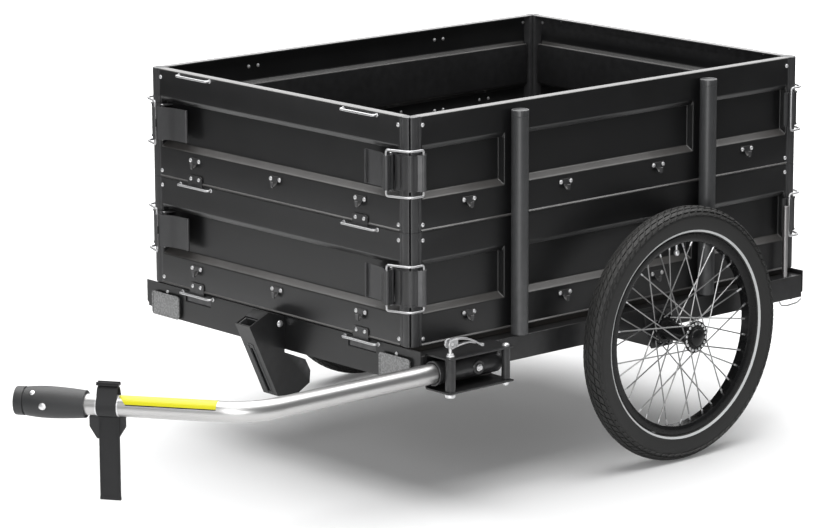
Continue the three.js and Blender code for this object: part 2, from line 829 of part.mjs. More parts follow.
// Axle beam under the rails with an end plate welded on each end
function axleBeam() {
  const inner = chassisHalfWidth + seatGap;
  const outer = inner + endPlateSheet;
  const top = railBottom - seatGap;
  const low = top - beamSize;
  const square = (reach) => {
    const centre = (top + low) * half;
    return [[-reach, centre - reach], [reach, centre - reach], [reach, centre + reach], [-reach,
      centre + reach]];
  };
  const beam = prismX(square(beamSize * half), -outer + bondDepth, outer - bondDepth,
    square(beamSize * half - beamWall).reverse());
  const side = endPlateLength * half;
  const foot = endPlateFootLength * half;
  const outline = [[-foot, low], [foot, low], [side, endPlateShoulder], [side, endPlateTop], [-side,
    endPlateTop],
    [-side, endPlateShoulder]];
  const plates = [[-outer, -inner], [inner, outer]].map(([x0, x1]) => prismX(outline, x0, x1));
  const bore = rodAlong([-outer - overrun, 0, wheelRadius], [outer + overrun, 0, wheelRadius],
    stubRadius + seatGap * 2, stubSides);
  const body = fused(beam, ...plates);
  return cut(body, bore);
}

function stubAxle() {
  const start = chassisHalfWidth + seatGap * 2;
  const end = wheelPlane + flangeSpacing * half + hubCapReach * half;
  const collarStart = start + endPlateSheet;
  const rod = rodAlong([start, 0, 0], [end, 0, 0], stubRadius, stubSides);
  const collar = rodAlong([collarStart, 0, 0], [collarStart + flangeThick, 0, 0], stubRadius * 2,
    stubSides);
  return fused(rod, collar);
}

// Spoked wheel about the X axis, outer side towards +X
function tyreSolid() {
  const rise = wheelRadius - tyreShoulder;
  const arc = Array.from({ length: tyreArcSteps + 1 }, (_, i) => {
    const angle = -quarterTurn + halfTurn * i / tyreArcSteps;
    return [tyreShoulder + rise * Math.cos(angle), tyreWidth * half * Math.sin(angle)];
  });
  const lip = rimWidth * half;
  const profile = [[tyreBead, -lip], ...arc, [tyreBead, lip]];
  return turned(profile, wheelSteps).rotateY(quarterTurn);
}

function rimSolid() {
  const side = rimWidth * half;
  const profile = [[rimOuter, -side], [rimInner + rimWall, -side * half], [rimInner + rimWall, side * half],
    [rimOuter, side], [rimInner, side * half], [rimInner, -side * half]];
  return turned(profile, wheelSteps).rotateY(quarterTurn);
}

function hubSolid() {
  const flange = flangeSpacing * half;
  const outerEnd = flange + hubCapReach;
  const innerEnd = flange + hubInnerReach;
  const profile = [[hubBore, -innerEnd], [hubBarrel, -innerEnd], [hubBarrel + flangeThick,
    -flange - flangeThick],
    [flangeRadius, -flange - flangeThick], [flangeRadius, -flange], [hubBarrel, -flange + hubCone],
    [hubBarrel, flange - hubCone], [flangeRadius, flange], [flangeRadius, flange + flangeThick],
    [hubCapRadius + flangeThick, flange + flangeThick], [hubCapRadius, flange + hubCapReach * half],
    [hubCapRadius * hubNoseShare, outerEnd - flangeThick * half], [hubBore, outerEnd]];
  const hub = turned(profile, hubSteps).rotateY(quarterTurn);
  const spokes = [];
  const tipRadius = rimInner * Math.cos(halfTurn / wheelSteps) - seatGap * 2;
  const step = fullTurn / spokesPerSide;
  for (const sign of [-1, 1]) {
    for (let i = 0; i < spokesPerSide; i += 1) {
      const offset = sign > 0 ? 0 : step * half;
      const foot = i * step + offset;
      const lead = (i % 2 === 0 ? 1 : -1) * spokeLeadHoles * step * half;
      const tip = foot + lead + (i % 2 === 0 ? -1 : 1) * step * half * half;
      const seat = flangeThick * half + (i % 2 === 0 ? spokeOffset : -spokeOffset);
      const x = sign * (flange + seat);
      const end = sign * rimWidth * half * half * half;
      spokes.push(rodAlong([x, spokeCircle * Math.cos(foot), spokeCircle * Math.sin(foot)],
        [end, tipRadius * Math.cos(tip), tipRadius * Math.sin(tip)], spokeRadius, spokeSides));
    }
  }
  return fused(hub, ...spokes);
}

function buildWheels() {
  const group = new THREE.Group();
  for (const [side, sign] of [['left', 1], ['right', -1]]) {
    const wheel = new THREE.Group();
    wheel.position.set(sign * wheelPlane, axlePlace, wheelRadius);
    wheel.rotation.z = sign > 0 ? 0 : halfTurn;
    wheel.add(named(`${side}_tyre`, tyreSolid(), tyreBlack));
    wheel.add(named(`${side}_rim`, rimSolid(), rimBlack));
    wheel.add(named(`${side}_hub`, hubSolid(), brightSteel));
    group.add(wheel);
    const stub = named(`${side}_stub_axle`, stubAxle(), brightSteel);
    stub.position.set(0, axlePlace, wheelRadius);
    stub.rotation.z = wheel.rotation.z;
    group.add(stub);
  }
  const beam = named('axle_beam', axleBeam(), railBlack);
  beam.position.y = axlePlace;
  group.add(beam);
  return group;
}

// Drawbar: straight out of its socket, then bent in towards the middle
const socketPlane = chassisHalfWidth + seatGap;
const receiverFlat = receiverRadius * Math.cos(halfTurn / drawbarSides);
const drawbarPlane = socketPlane + socketWebSheet + receiverFlat - bondDepth;
const bendTangent = drawbarBendRadius * Math.tan(drawbarTurn * half);
const drawbarAim = [-Math.sin(drawbarTurn), -Math.cos(drawbarTurn)];

function drawbarAt(along) {
  return [drawbarPlane + drawbarAim[0] * along, drawbarCorner + drawbarAim[1] * along, drawbarLevel];
}

function drawbarPath() {
  const start = drawbarCorner + bendTangent;
  const centre = [drawbarPlane - drawbarBendRadius, start];
  const bend = Array.from({ length: bendSteps + 1 }, (_, i) => {
    const angle = drawbarTurn * i / bendSteps;
    return [centre[0] + drawbarBendRadius * Math.cos(angle),
      centre[1] - drawbarBendRadius * Math.sin(angle),
      drawbarLevel];
  });
  return [[drawbarPlane, drawbarRearEnd, drawbarLevel], ...bend,
    drawbarAt(drawbarEndAlong - headSocketDepth)];
}

function drawbarTube() {
  const points = drawbarPath();
  const last = points.length - 1;
  const longer = points.map((point) => [...point]);
  longer[0][1] += overrun;
  longer[last][0] += drawbarAim[0] * overrun;
  longer[last][1] += drawbarAim[1] * overrun;
  return cut(wireAlong(points, drawbarRadius, drawbarSides),
    wireAlong(longer, drawbarRadius - drawbarWall, drawbarSides));
}

// Turned sleeve over the drawbar's end, with its face towards the bicycle
function couplingHead() {
  const bore = drawbarRadius / Math.cos(halfTurn / drawbarSides) + seatGap;
  const swell = Array.from({ length: headArcSteps + 1 }, (_, i) => {
    const share = i / headArcSteps;
    const place = headGroovePlace + headGrooveWidth
      + (headBellyPlace - headGroovePlace - headGrooveWidth) * share;
    return [headFrontRadius + (headBellyRadius - headFrontRadius) * Math.sin(quarterTurn * share), place];
  });
  const taper = Array.from({ length: headArcSteps }, (_, i) => {
    const share = (i + 1) / headArcSteps;
    return [headBellyRadius - (headBellyRadius - headRearRadius) * (1 - Math.cos(quarterTurn * share)),
      headBellyPlace + (headLength - headBellyPlace) * share];
  });
  const profile = [[headSocketRadius, 0], [headFrontRadius - headFace, 0], [headFrontRadius, headFace],
    [headFrontRadius, headGroovePlace], [headFrontRadius - headGrooveDepth, headGroovePlace],
    [headFrontRadius - headGrooveDepth, headGroovePlace + headGrooveWidth], ...swell, ...taper,
    [bore, headLength], [bore, headSocketDepth - seatGap], [headSocketRadius, headSocketDepth - seatGap]];
  return turned(profile, drawbarSides);
}

// Webbing round the drawbar with a hanging tail, seen along the drawbar
const strapSides = 12;
const strapInner = drawbarRadius / Math.cos(halfTurn / strapSides) + seatGap;
const strapOuter = strapInner + strapLayer;

function strapSolid() {
  const loop = (radius, crest) => {
    const lean = Math.asin(radius * half / crest);
    return [...circleOf([0, 0], radius, strapSides, halfTurn - lean, halfTurn + lean * 2),
      ...circleOf([0, crest], radius * half, arcSteps, lean, halfTurn - lean * 2)];
  };
  const ring = prismX(loop(strapOuter, strapCrest + strapLayer), -strapWidth * half, strapWidth * half,
    loop(strapInner, strapCrest).reverse());
  const tail = boxOf(-strapWidth * half, strapWidth * half, -strapTailThick * half, strapTailThick * half,
    -strapDrop, -strapInner - bondDepth);
  const crest = strapCrest + strapInner * half;
  const buckle = boxOf(-buckleWidth * half, buckleWidth * half, -buckleThick * half, buckleThick * half,
    crest + bondDepth, crest + bondDepth + buckleTall);
  return fused(ring, tail, buckle);
}

function strapPad() {
  const top = -strapOuter - seatGap;
  const side = padWide * half;
  const foot = strapWidth * half;
  const outline = [[-side, top + padTop], [side, top + padTop], [side, top - padShoulder],
    [foot, top - padTall], [-foot, top - padTall], [-side, top - padShoulder]];
  const back = strapTailThick * half + seatGap;
  const plate = prismY(outline.map(([x, z]) => [x - padShift, z]), back, back + padThick);
  const clear = (strapOuter + seatGap) / Math.cos(halfTurn / strapSides);
  const seat = rodAlong([-side - padShift - overrun, 0, 0], [side + overrun, 0, 0], clear, strapSides);
  return cut(plate, seat);
}

function buildDrawbar() {
  const group = new THREE.Group();
  group.add(named('drawbar_tube', drawbarTube(), bareTube));
  const head = named('coupling_head', couplingHead(), headBlack);
  head.position.set(...drawbarAt(drawbarEndAlong));
  const back = new THREE.Vector3(-drawbarAim[0], -drawbarAim[1], 0);
  head.quaternion.setFromUnitVectors(new THREE.Vector3(0, 0, 1), back);
  group.add(head);
  const turn = Math.atan2(-drawbarAim[1], -drawbarAim[0]);
  for (const [name, geometry, material] of [['strap', strapSolid(), webbing], ['strap_pad', strapPad(),
    padBlack]]) {
    const mesh = named(name, geometry, material);
    mesh.position.set(...drawbarAt(strapAlong));
    mesh.rotation.z = turn;
    group.add(mesh);
  }
  return group;
}

// Folded bracket, receiver tube and front spacer as one weldment on the rail
const spacerPlane = drawbarPlane + receiverRadius + spacerRadius - bondDepth;
const socketSide = spacerPlane + spacerRadius + socketEdge;
const socketTop = drawbarLevel + socketHalfTall + socketSheet;
const socketLow = drawbarLevel - socketHalfTall - socketSheet;

function socketBracket() {
  const web = [[socketPlane, socketLow], [socketSide, socketLow], [socketSide, socketLow + socketSheet],
    [socketPlane + socketWebSheet, socketLow + socketSheet], [socketPlane + socketWebSheet,
    socketTop - socketSheet],
    [socketSide, socketTop - socketSheet], [socketSide, socketTop], [socketPlane, socketTop]];
  const fold = prismY(web, socketFront, socketRear);
  const receiver = rodAlong([drawbarPlane, socketFront - flangeThick, drawbarLevel],
    [drawbarPlane, rearSpacerPlace, drawbarLevel], receiverRadius, drawbarSides);
  const spacer = rodAlong([spacerPlane, spacerFront, socketLow + bondDepth],
    [spacerPlane, spacerFront, socketTop - bondDepth], spacerRadius, roundSides);
  const bore = rodAlong([drawbarPlane, socketFront - flangeThick - overrun, drawbarLevel],
    [drawbarPlane, drawbarRearEnd + seatGap, drawbarLevel], drawbarRadius + receiverGap, drawbarSides);
  const skewerHole = rodAlong([spacerPlane, spacerFront, socketLow - overrun],
    [spacerPlane, spacerFront, socketTop + overrun], skewerBore, pinSides);
  const plungerHole = rodAlong([drawbarPlane, plungerPlace, drawbarLevel],
    [drawbarPlane + receiverRadius * 2, plungerPlace, drawbarLevel], plungerBody + seatGap, pinSides);
  const boltHole = rodAlong([spacerPlane, rearSpacerPlace, socketLow - overrun],
    [spacerPlane, rearSpacerPlace, socketTop + overrun], boltRadius + seatGap, pinSides);
  return cut(fused(fold, receiver, spacer), bore, skewerHole, plungerHole, boltHole);
}

function spacerBolt() {
  const low = socketLow + socketSheet + seatGap;
  const high = socketTop - socketSheet - seatGap;
  const spacer = rodAlong([0, 0, low], [0, 0, high], rearSpacerRadius, headSides);
  const shank = rodAlong([0, 0, socketLow - seatGap - boltHeadTall], [0, 0,
    socketTop + seatGap + bondDepth],
    boltRadius, pinSides);
  const nut = rodAlong([0, 0, socketLow - seatGap - boltHeadTall], [0, 0, socketLow - seatGap],
    boltHeadRadius, nutSides);
  const dome = rodAlong([0, 0, socketTop + seatGap], [0, 0, socketTop + seatGap + boltHeadTall],
    boltHeadRadius, headSides,
    boltHeadRadius * half);
  return fused(spacer, shank, nut, dome);
}

function clampSkewer() {
  const headFoot = socketTop + seatGap;
  const camCentre = socketTop + camRise;
  const nutTop = socketLow - seatGap;
  const rod = rodAlong([0, 0, nutTop - bondDepth], [0, 0, camCentre + skewerRadius], skewerRadius,
    pinSides);
  const nut = rodAlong([0, 0, nutTop - skewerNutTall], [0, 0, nutTop], skewerNutRadius, pinSides);
  const washer = rodAlong([0, 0, headFoot], [0, 0, headFoot + skewerHeadTall], skewerNutRadius, headSides);
  const pin = rodAlong([-camWidth * half, 0, camCentre], [camWidth * half, 0, camCentre], skewerRadius,
    nutSides);
  return fused(rod, nut, washer, pin);
}

// Cam lever about its own pin along X: two cheeks, a bridge and a drooping handle
function camLever() {
  const inside = camSlot * half;
  const side = camWidth * half;
  const cheeks = [[-side, -inside], [inside, side]].map(([x0, x1]) => prismX(circleOf([0, 0], camRadius,
    roundSides), x0, x1));
  const line = [[camRadius * half, camRadius * half], [camRadius + camLeverSheet, camRadius * half],
    [camLeverReach * half, 0], [camLeverReach - camRadius, -camLeverDroop + camLeverSheet * half],
    [camLeverReach, -camLeverDroop]];
  const rear = boxOf(-side, side, camRadius - camLeverSheet * half, camRadius + camLeverSheet,
    -camLeverSheet * half,
    camRadius - seatGap);
  const clearRod = boxOf(-inside, inside, -camRadius - overrun, skewerRadius + seatGap * 2,
    -camRadius - overrun,
    camRadius + overrun);
  const arm = prismX(stripOf(line, camLeverSheet), -camLeverTipWidth * half, camLeverTipWidth * half);
  const pinHole = rodAlong([-side - overrun, 0, 0], [side + overrun, 0, 0], skewerRadius + seatGap * 2,
    nutSides);
  return cut(fused(...cheeks, rear, arm), clearRod, pinHole);
}

function plunger() {
  const start = drawbarRadius + receiverGap + seatGap;
  const face = receiverRadius + seatGap;
  const nose = rodAlong([start, 0, 0], [face + plungerHeadTall, 0, 0], plungerBody, pinSides);
  const head = rodAlong([face + seatGap, 0, 0], [face + seatGap + plungerHeadTall, 0, 0], plungerHead,
    headSides,
    plungerRadius);
  return fused(nose, head);
}

function buildSocket() {
  const group = new THREE.Group();
  group.add(named('socket_bracket', socketBracket(), railBlack));
  const bolt = named('spacer_bolt', spacerBolt(), stakeGrey);
  bolt.position.set(spacerPlane, rearSpacerPlace, 0);
  const skewer = named('clamp_skewer', clampSkewer(), brightSteel);
  skewer.position.set(spacerPlane, spacerFront, 0);
  const lever = named('cam_lever', camLever(), chromeWire);
  lever.position.set(spacerPlane, spacerFront, socketTop + camRise);
  const button = named('locking_plunger', plunger(), brightSteel);
  button.position.set(drawbarPlane, plungerPlace, drawbarLevel);
  group.add(bolt, skewer, lever, button);
  return group;
}

// Parking stand: folded housing with an open mouth, sliding leg and wing screw
const standRun = [standFrontFoot[0] - standFrontTop[0], standFrontFoot[1] - standFrontTop[1]];
const standLength = Math.hypot(...standRun);
const standAim = [standRun[0] / standLength, standRun[1] / standLength];
const standInward = [-standAim[1], standAim[0]];

function standPoint(along, inward) {
  return [standFrontTop[0] + standAim[0] * along + standInward[0] * inward,
    standFrontTop[1] + standAim[1] * along + standInward[1] * inward];
}

function standHousing() {
  const outline = [standFrontTop, standFrontFoot, standHeel, standRearFoot, standRearMid, standRearTop,
    standThroat,
    standBack, standMouthRear];
  const body = prismX(outline, standFar, standNear);
  const deep = standLegDeep + standLegClear * 2;
  const channel = [standPoint(-standLength * half, standWall), standPoint(standLength * 2, standWall),
    standPoint(standLength * 2, standWall + deep), standPoint(-standLength * half, standWall + deep)];
  const cavity = prismX(channel, standFar + standWall, standNear - standWall);
  const slotMiddle = (standNear + standFar) * half;
  const slotLine = [standPoint(standLength * standSlotTopShare, -overrun),
    standPoint(standLength * standSlotFootShare, -overrun),
    standPoint(standLength * standSlotFootShare, standWall + overrun),
    standPoint(standLength * standSlotTopShare, standWall + overrun)];
  const slot = prismX(slotLine, slotMiddle - standSlotWidth * half, slotMiddle + standSlotWidth * half);
  const rearShell = [standPoint(standWall, standWall * 2 + deep), standPoint(standLength - standWall,
    standWall * 2 + deep),
    [standHeel[0], standHeel[1] + standWall], [standRearFoot[0] - standWall,
    standRearFoot[1] + standWall * half],
    [standRearMid[0] - standWall, standRearMid[1] - standWall], [standRearTop[0],
    standRearTop[1] - standWall],
    [standThroat[0] - standWall, standThroat[1] - standWall], [standBack[0] - standWall,
    standBack[1] - standWall]];
  const well = prismX(rearShell, standFar + standWall, standNear - standWall);
  const wellMouth = prismX([[standThroat[0] - standWall, standHeel[1] + standWall * 4],
    [standRearFoot[0] - standWall * 4, standHeel[1] + standWall * 4],
    [standRearFoot[0] - standWall * 4, standHeel[1] - standWall * 4],
    [standThroat[0] - standWall, standHeel[1] - standWall * 4]], standFar + standWall * 2,
    standNear - standWall * 2);
  const pivot = rodAlong([standFar - overrun, standPivotPlace, standPivotLevel],
    [standNear + overrun, standPivotPlace, standPivotLevel], standPivotRadius + seatGap * 2, pinSides);
  const screwAt = standPoint(standLength * wingPlaceShare, standWall + deep);
  const screwEnd = standPoint(standLength * wingPlaceShare, standWall + deep + standLength);
  const screwHole = rodAlong([slotMiddle, ...screwAt.map((v, i) => v - standInward[i] * overrun)],
    [slotMiddle, ...screwEnd],
    wingRadius + seatGap, pinSides);
  return cut(body, cavity, slot, well, wellMouth, pivot, screwHole);
}

function standLeg() {
  const front = standWall + standLegClear;
  const back = front + standLegDeep;
  const side = standWall + standLegClear;
  const start = standLength - standLegLength;
  const end = standLength + standFoot;
  const outline = [standPoint(start, front), standPoint(end, front), standPoint(end, back),
    standPoint(start, back)];
  const bore = [standPoint(start - overrun, front + standLegWall), standPoint(end - standFoot,
    front + standLegWall),
    standPoint(end - standFoot, back - standLegWall), standPoint(start - overrun, back - standLegWall)];
  return cut(prismX(outline, standFar + side, standNear - side),
    prismX(bore, standFar + side + standLegWall, standNear - side - standLegWall));
}

// Wing screw along its own Z axis, which points out of the housing's back
function wingScrew() {
  const tip = seatGap;
  const stem = rodAlong([0, 0, tip], [0, 0, wingStem + wingTall], wingRadius, pinSides);
  const blade = [[0, wingStem], [wingRadius, wingStem], [wingReach, wingStem + wingTall * half],
    [wingReach, wingStem + wingTall * 2], [wingReach * half, wingStem + wingTall * 2], [0,
    wingStem + wingTall]];
  const wing = prismY(blade, -wingSheet * half, wingSheet * half);
  return fused(stem, wing, wing.clone().rotateZ(halfTurn));
}

function pivotBolt() {
  const shank = rodAlong([standFar - seatGap - standPivotHeadTall, 0, 0],
    [standNear + seatGap + bondDepth, 0, 0],
    standPivotRadius, pinSides);
  const head = rodAlong([standNear + seatGap, 0, 0], [standNear + seatGap + standPivotHeadTall, 0, 0],
    standPivotHead, headSides);
  const nut = rodAlong([standFar - seatGap - standPivotHeadTall, 0, 0], [standFar - seatGap, 0, 0],
    standPivotHead, nutSides);
  return fused(shank, head, nut);
}

function buildStand() {
  const group = new THREE.Group();
  group.add(named('stand_housing', standHousing(), railBlack));
  group.add(named('stand_leg', standLeg(), stakeGrey));
  const bolt = named('stand_pivot_bolt', pivotBolt(), brightSteel);
  bolt.position.set(0, standPivotPlace, standPivotLevel);
  group.add(bolt);
  const screw = named('wing_screw', wingScrew(), brightSteel);
  const seat = standPoint(standLength * wingPlaceShare, standWall + standLegClear + standLegDeep);
  screw.position.set((standNear + standFar) * half, ...seat);
  screw.quaternion.setFromUnitVectors(new THREE.Vector3(0, 0, 1), new THREE.Vector3(0, ...standInward));
  group.add(screw);
  return group;
}

// The whole trailer, moved so that the middle of its length lies at the origin
const trailer = new THREE.Group();
trailer.add(
  buildChassis(),
  buildReflectors(),
  buildStakes(),
  buildWheels(),
  buildLevel('lower', boxBottom),
  buildLevel('upper', boxBottom + levelHeight),
  buildDrawbar(),
  buildSocket(),
  buildStand(),
);
const extent = new THREE.Box3().setFromObject(trailer, true);
trailer.position.y = -(extent.min.y + extent.max.y) * half;

export default trailer;
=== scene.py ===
"""Looks of a cargo bike trailer: pressed panels, corner latches, wheels, drawbar and stand.

Shapes are drawn in millimetres about the middle of the box's length, and each finished piece is
moved to the frame's metres in one step.
"""
from __future__ import annotations

import logging
import math
from dataclasses import dataclass
from enum import Enum
from typing import Iterable, Sequence

import bmesh
import bpy
from mathutils import Matrix, Vector


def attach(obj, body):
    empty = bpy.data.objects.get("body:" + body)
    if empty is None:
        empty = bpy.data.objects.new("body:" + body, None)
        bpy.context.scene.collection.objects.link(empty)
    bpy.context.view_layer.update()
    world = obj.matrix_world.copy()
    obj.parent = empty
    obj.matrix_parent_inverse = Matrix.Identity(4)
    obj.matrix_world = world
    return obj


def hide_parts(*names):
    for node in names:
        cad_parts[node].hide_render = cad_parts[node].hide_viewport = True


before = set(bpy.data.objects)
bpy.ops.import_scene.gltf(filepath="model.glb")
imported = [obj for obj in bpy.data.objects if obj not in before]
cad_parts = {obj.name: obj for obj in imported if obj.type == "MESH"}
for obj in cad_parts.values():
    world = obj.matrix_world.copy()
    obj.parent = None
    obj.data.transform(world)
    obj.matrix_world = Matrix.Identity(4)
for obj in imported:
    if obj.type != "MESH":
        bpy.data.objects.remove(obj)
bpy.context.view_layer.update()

log = logging.getLogger("trailer")
Point = tuple[float, float, float]
Pair = tuple[float, float]
Spot = Sequence[float]
Line = Sequence[Spot]
ROW_SHIFT = 329.7446
MILLIMETRE = 0.001
TO_ROW = Matrix.Scale(MILLIMETRE, 4) @ Matrix.Translation((0.0, ROW_SHIFT, 0.0))
TO_DRAWING = TO_ROW.inverted()
QUARTER = math.pi / 2
WELD = 0.002
CUT_REACH = 0.001
FLAT_ANGLE = 1.5
SMOOTH_ANGLE = 32.0
# Colour of rubbed edges, which also serves as a painted highlight on edges that catch the light.
RUBBED_AND_HIGHLIGHT = (0.32, 0.32, 0.33)
# Colour of the dusting on up-facing faces, which also serves as painted top light on them.
DUST_AND_TOP_LIGHT = (0.2, 0.19, 0.18)
COAT_ROUGHNESS = 0.12
Tree = bpy.types.NodeTree
Socket = bpy.types.NodeSocket


class Axis(Enum):
    """The axis that a prism or a turned shape runs along."""

    X = 0
    Y = 1
    Z = 2

    def point(self, a: float, b: float, c: float) -> Vector:
        """Puts a drawing's two coordinates and a height along the axis into space."""
        return Vector({Axis.X: (c, a, b), Axis.Y: (a, c, b), Axis.Z: (a, b, c)}[self])

    def turn(self) -> Matrix:
        """Turns a shape about Z into the same shape about this axis.

        Returns:
            The turn.
        """
        return {
            Axis.X: Matrix.Rotation(QUARTER, 4, "Y"),
            Axis.Y: Matrix.Rotation(-QUARTER, 4, "X"),
            Axis.Z: Matrix.Identity(4),
        }[self]


def polar(across: float, up: float, degrees: float) -> Pair:
    """Point on an oval about the origin."""
    return across * math.cos(math.radians(degrees)), up * math.sin(math.radians(degrees))


def arc(centre: Pair, radius: float, start: float, sweep: float, steps: int) -> list[Pair]:
    """Lists points on an arc.

    Args:
        centre: Middle of the arc.
        radius: Its radius.
        start: Its first angle in degrees.
        sweep: The angle that it covers in degrees.
        steps: Number of chords.

    Returns:
        Points from the first angle to the last.
    """
    spots = [polar(radius, radius, start + sweep * i / steps) for i in range(steps + 1)]
    return [(centre[0] + x, centre[1] + y) for x, y in spots]


def curl(centre: Pair, radii: Pair, start: float, sweep: float, steps: int) -> list[Pair]:
    """Outline of a curled plate between two arcs about one middle."""
    first, second = (arc(centre, radius, start, sweep, steps) for radius in radii)
    return [*first, *reversed(second)]


def sleeve(inner: float, outer: float, low: float, high: float, chamfer: float) -> list[Pair]:
    """Profile of a bush whose outer corners are cut."""
    return [(inner, low), (outer - chamfer, low), (outer, low + chamfer), (outer, high - chamfer),
            (outer - chamfer, high), (inner, high)]


def picked(items: Iterable[object], kind: type) -> list:
    """Picks one kind of element from what an operator made."""
    return [item for item in items if isinstance(item, kind)]


def rounded(points: Line, radius: float, steps: int = 4) -> list[Vector]:
    """Rounds the inner corners of a line.

    Args:
        points: Corners of the line.
        radius: Length taken off each side of a corner.
        steps: Number of chords in a corner.

    Returns:
        The points of the rounded line.
    """
    line = [Vector(p) for p in points]
    smooth = [line[0]]
    for before, corner, after in zip(line, line[1:], line[2:]):
        back = before - corner
        ahead = after - corner
        first = corner + back.normalized() * min(radius, back.length * 0.48)
        last = corner + ahead.normalized() * min(radius, ahead.length * 0.48)
        for i in range(steps + 1):
            t = i / steps
            smooth.append(first * (1 - t) ** 2 + corner * 2 * t * (1 - t) + last * t * t)
    smooth.append(line[-1])
    return smooth


def facing(direction: Spot) -> Matrix:
    """Turns Z to a direction."""
    return Vector((0, 0, 1)).rotation_difference(Vector(direction)).to_matrix().to_4x4()


def at(*place: float) -> Matrix:
    """Moves a shape to a place."""
    return Matrix.Translation(Vector(place))


class Shape:
    """A mesh in the making, in the drawing's millimetres."""

    def __init__(self) -> None:
        """Starts with nothing."""
        self.mesh = bmesh.new()

    @classmethod
    def of_node(cls, node: str) -> Shape:
        """Copies a node of the frame, with its loose triangles joined into flat faces.

        Args:
            node: Name of the node.

        Returns:
            The copy in millimetres.
        """
        shape = cls()
        shape.mesh.from_mesh(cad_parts[node].data)
        shape.mesh.transform(TO_DRAWING)
        bmesh.ops.remove_doubles(shape.mesh, verts=shape.mesh.verts, dist=WELD)
        bmesh.ops.dissolve_limit(
            shape.mesh, angle_limit=math.radians(FLAT_ANGLE), verts=shape.mesh.verts, edges=shape.mesh.edges
        )
        return shape

    def add(self, other: Shape, matrix: Matrix | None = None) -> Shape:
        """Takes in another shape.

        Args:
            other: The shape, which stays as it is.
            matrix: Where to put it.

        Returns:
            This shape.
        """
        scratch = bpy.data.meshes.new("scratch")
        other.mesh.to_mesh(scratch)
        if matrix is not None:
            scratch.transform(matrix)
        self.mesh.from_mesh(scratch)
        bpy.data.meshes.remove(scratch)
        return self

    def moved(self, matrix: Matrix) -> Shape:
        """Moves the shape and turns its faces back outwards if the move mirrors it.

        Args:
            matrix: The move.

        Returns:
            This shape.
        """
        self.mesh.transform(matrix)
        bmesh.ops.recalc_face_normals(self.mesh, faces=self.mesh.faces)
        return self

    def cut(self, place: Spot, normal: Spot) -> None:
        """Cuts every face along a plane."""
        everything = self.mesh.verts[:] + self.mesh.edges[:] + self.mesh.faces[:]
        bmesh.ops.bisect_plane(self.mesh, geom=everything, plane_co=place, plane_no=normal, dist=CUT_REACH)

    def drawn_out(self, edges: list, shift: Spot) -> list:
        """Draws faces out of edges, and lists what was made.

        Args:
            edges: Edges to start from.
            shift: How far and which way.

        Returns:
            What was made.
        """
        grown = bmesh.ops.extrude_edge_only(self.mesh, edges=edges)["geom"]
        bmesh.ops.translate(self.mesh, verts=picked(grown, bmesh.types.BMVert), vec=shift)
        return grown

    def prism(self, outline: Line, low: float, high: float,
              axis: Axis = Axis.Z) -> Shape:
        """Extrudes a closed outline.

        Args:
            outline: Pairs in the plane across the axis.
            low: Where it starts along the axis.
            high: Where it ends.
            axis: The axis that it runs along.

        Returns:
            This shape.
        """
        foot = self.mesh.faces.new([self.mesh.verts.new(axis.point(a, b, low)) for a, b, *_ in outline])
        grown = bmesh.ops.extrude_face_region(self.mesh, geom=[foot])["geom"]
        shift = axis.point(0, 0, high - low)
        bmesh.ops.translate(self.mesh, verts=picked(grown, bmesh.types.BMVert), vec=shift)
        return self

    def block(self, low: Point, high: Point) -> Shape:
        """Adds a box between two corners.

        Args:
            low: Least corner.
            high: Greatest corner.

        Returns:
            This shape.
        """
        made = bmesh.ops.create_cube(self.mesh, size=1.0)
        size = Vector(high) - Vector(low)
        bmesh.ops.scale(self.mesh, vec=size, verts=made["verts"])
        bmesh.ops.translate(self.mesh, vec=Vector(low) + size / 2, verts=made["verts"])
        return self

    def turned(self, profile: Sequence[Pair], steps: int = 48, closed: bool = False) -> Shape:
        """Spins a profile about Z.

        Args:
            profile: Pairs of radius and height.
            steps: Number of faces round.
            closed: Whether the profile's last point joins its first.

        Returns:
            This shape.
        """
        points = [self.mesh.verts.new((radius, 0.0, height)) for radius, height in profile]
        pairs = list(zip(points, points[1:]))
        if closed:
            pairs.append((points[-1], points[0]))
        lines = [self.mesh.edges.new(pair) for pair in pairs]
        bmesh.ops.spin(
            self.mesh, geom=points + lines, cent=(0, 0, 0), axis=(0, 0, 1), dvec=(0, 0, 0),
            angle=math.tau, steps=steps, use_merge=True, use_duplicate=False,
        )
        bmesh.ops.remove_doubles(self.mesh, verts=self.mesh.verts, dist=0.0005)
        return self

    def round_bar(self, start: Spot, end: Spot, radius: float, chamfer: float = 0.5,
                  steps: int = 32) -> Shape:
        """Adds a round bar with softened ends.

        Args:
            start: Middle of one end.
            end: Middle of the other.
            radius: Radius of the bar.
            chamfer: Softening of its ends.
            steps: Sides round it.

        Returns:
            This shape.
        """
        run = Vector(end) - Vector(start)
        profile = sleeve(0, radius, 0, run.length, chamfer)
        return self.add(Shape().turned(profile, steps), at(*start) @ facing(run))

    def hex_head(self, start: Spot, end: Spot, across: float) -> Shape:
        """Adds a six-sided nut or head, given its width across corners.

        Args:
            start: Middle of one face.
            end: Middle of the other.
            across: Width across corners.

        Returns:
            This shape.
        """
        run = Vector(end) - Vector(start)
        outline = arc((0, 0), across / 2, 0, 300, 5)
        nut = Shape().prism(outline, 0, run.length).softened(across * 0.03)
        return self.add(nut, at(*start) @ facing(run))

    def dome(self, place: Spot, normal: Spot, radius: float, height: float) -> Shape:
        """Adds a rivet's round head on a face."""
        profile = [(0, -0.3), (radius, -0.3), *[polar(radius, height, t) for t in (0, 30, 58, 78, 90)]]
        return self.add(Shape().turned(profile, 12), at(*place) @ facing(normal))

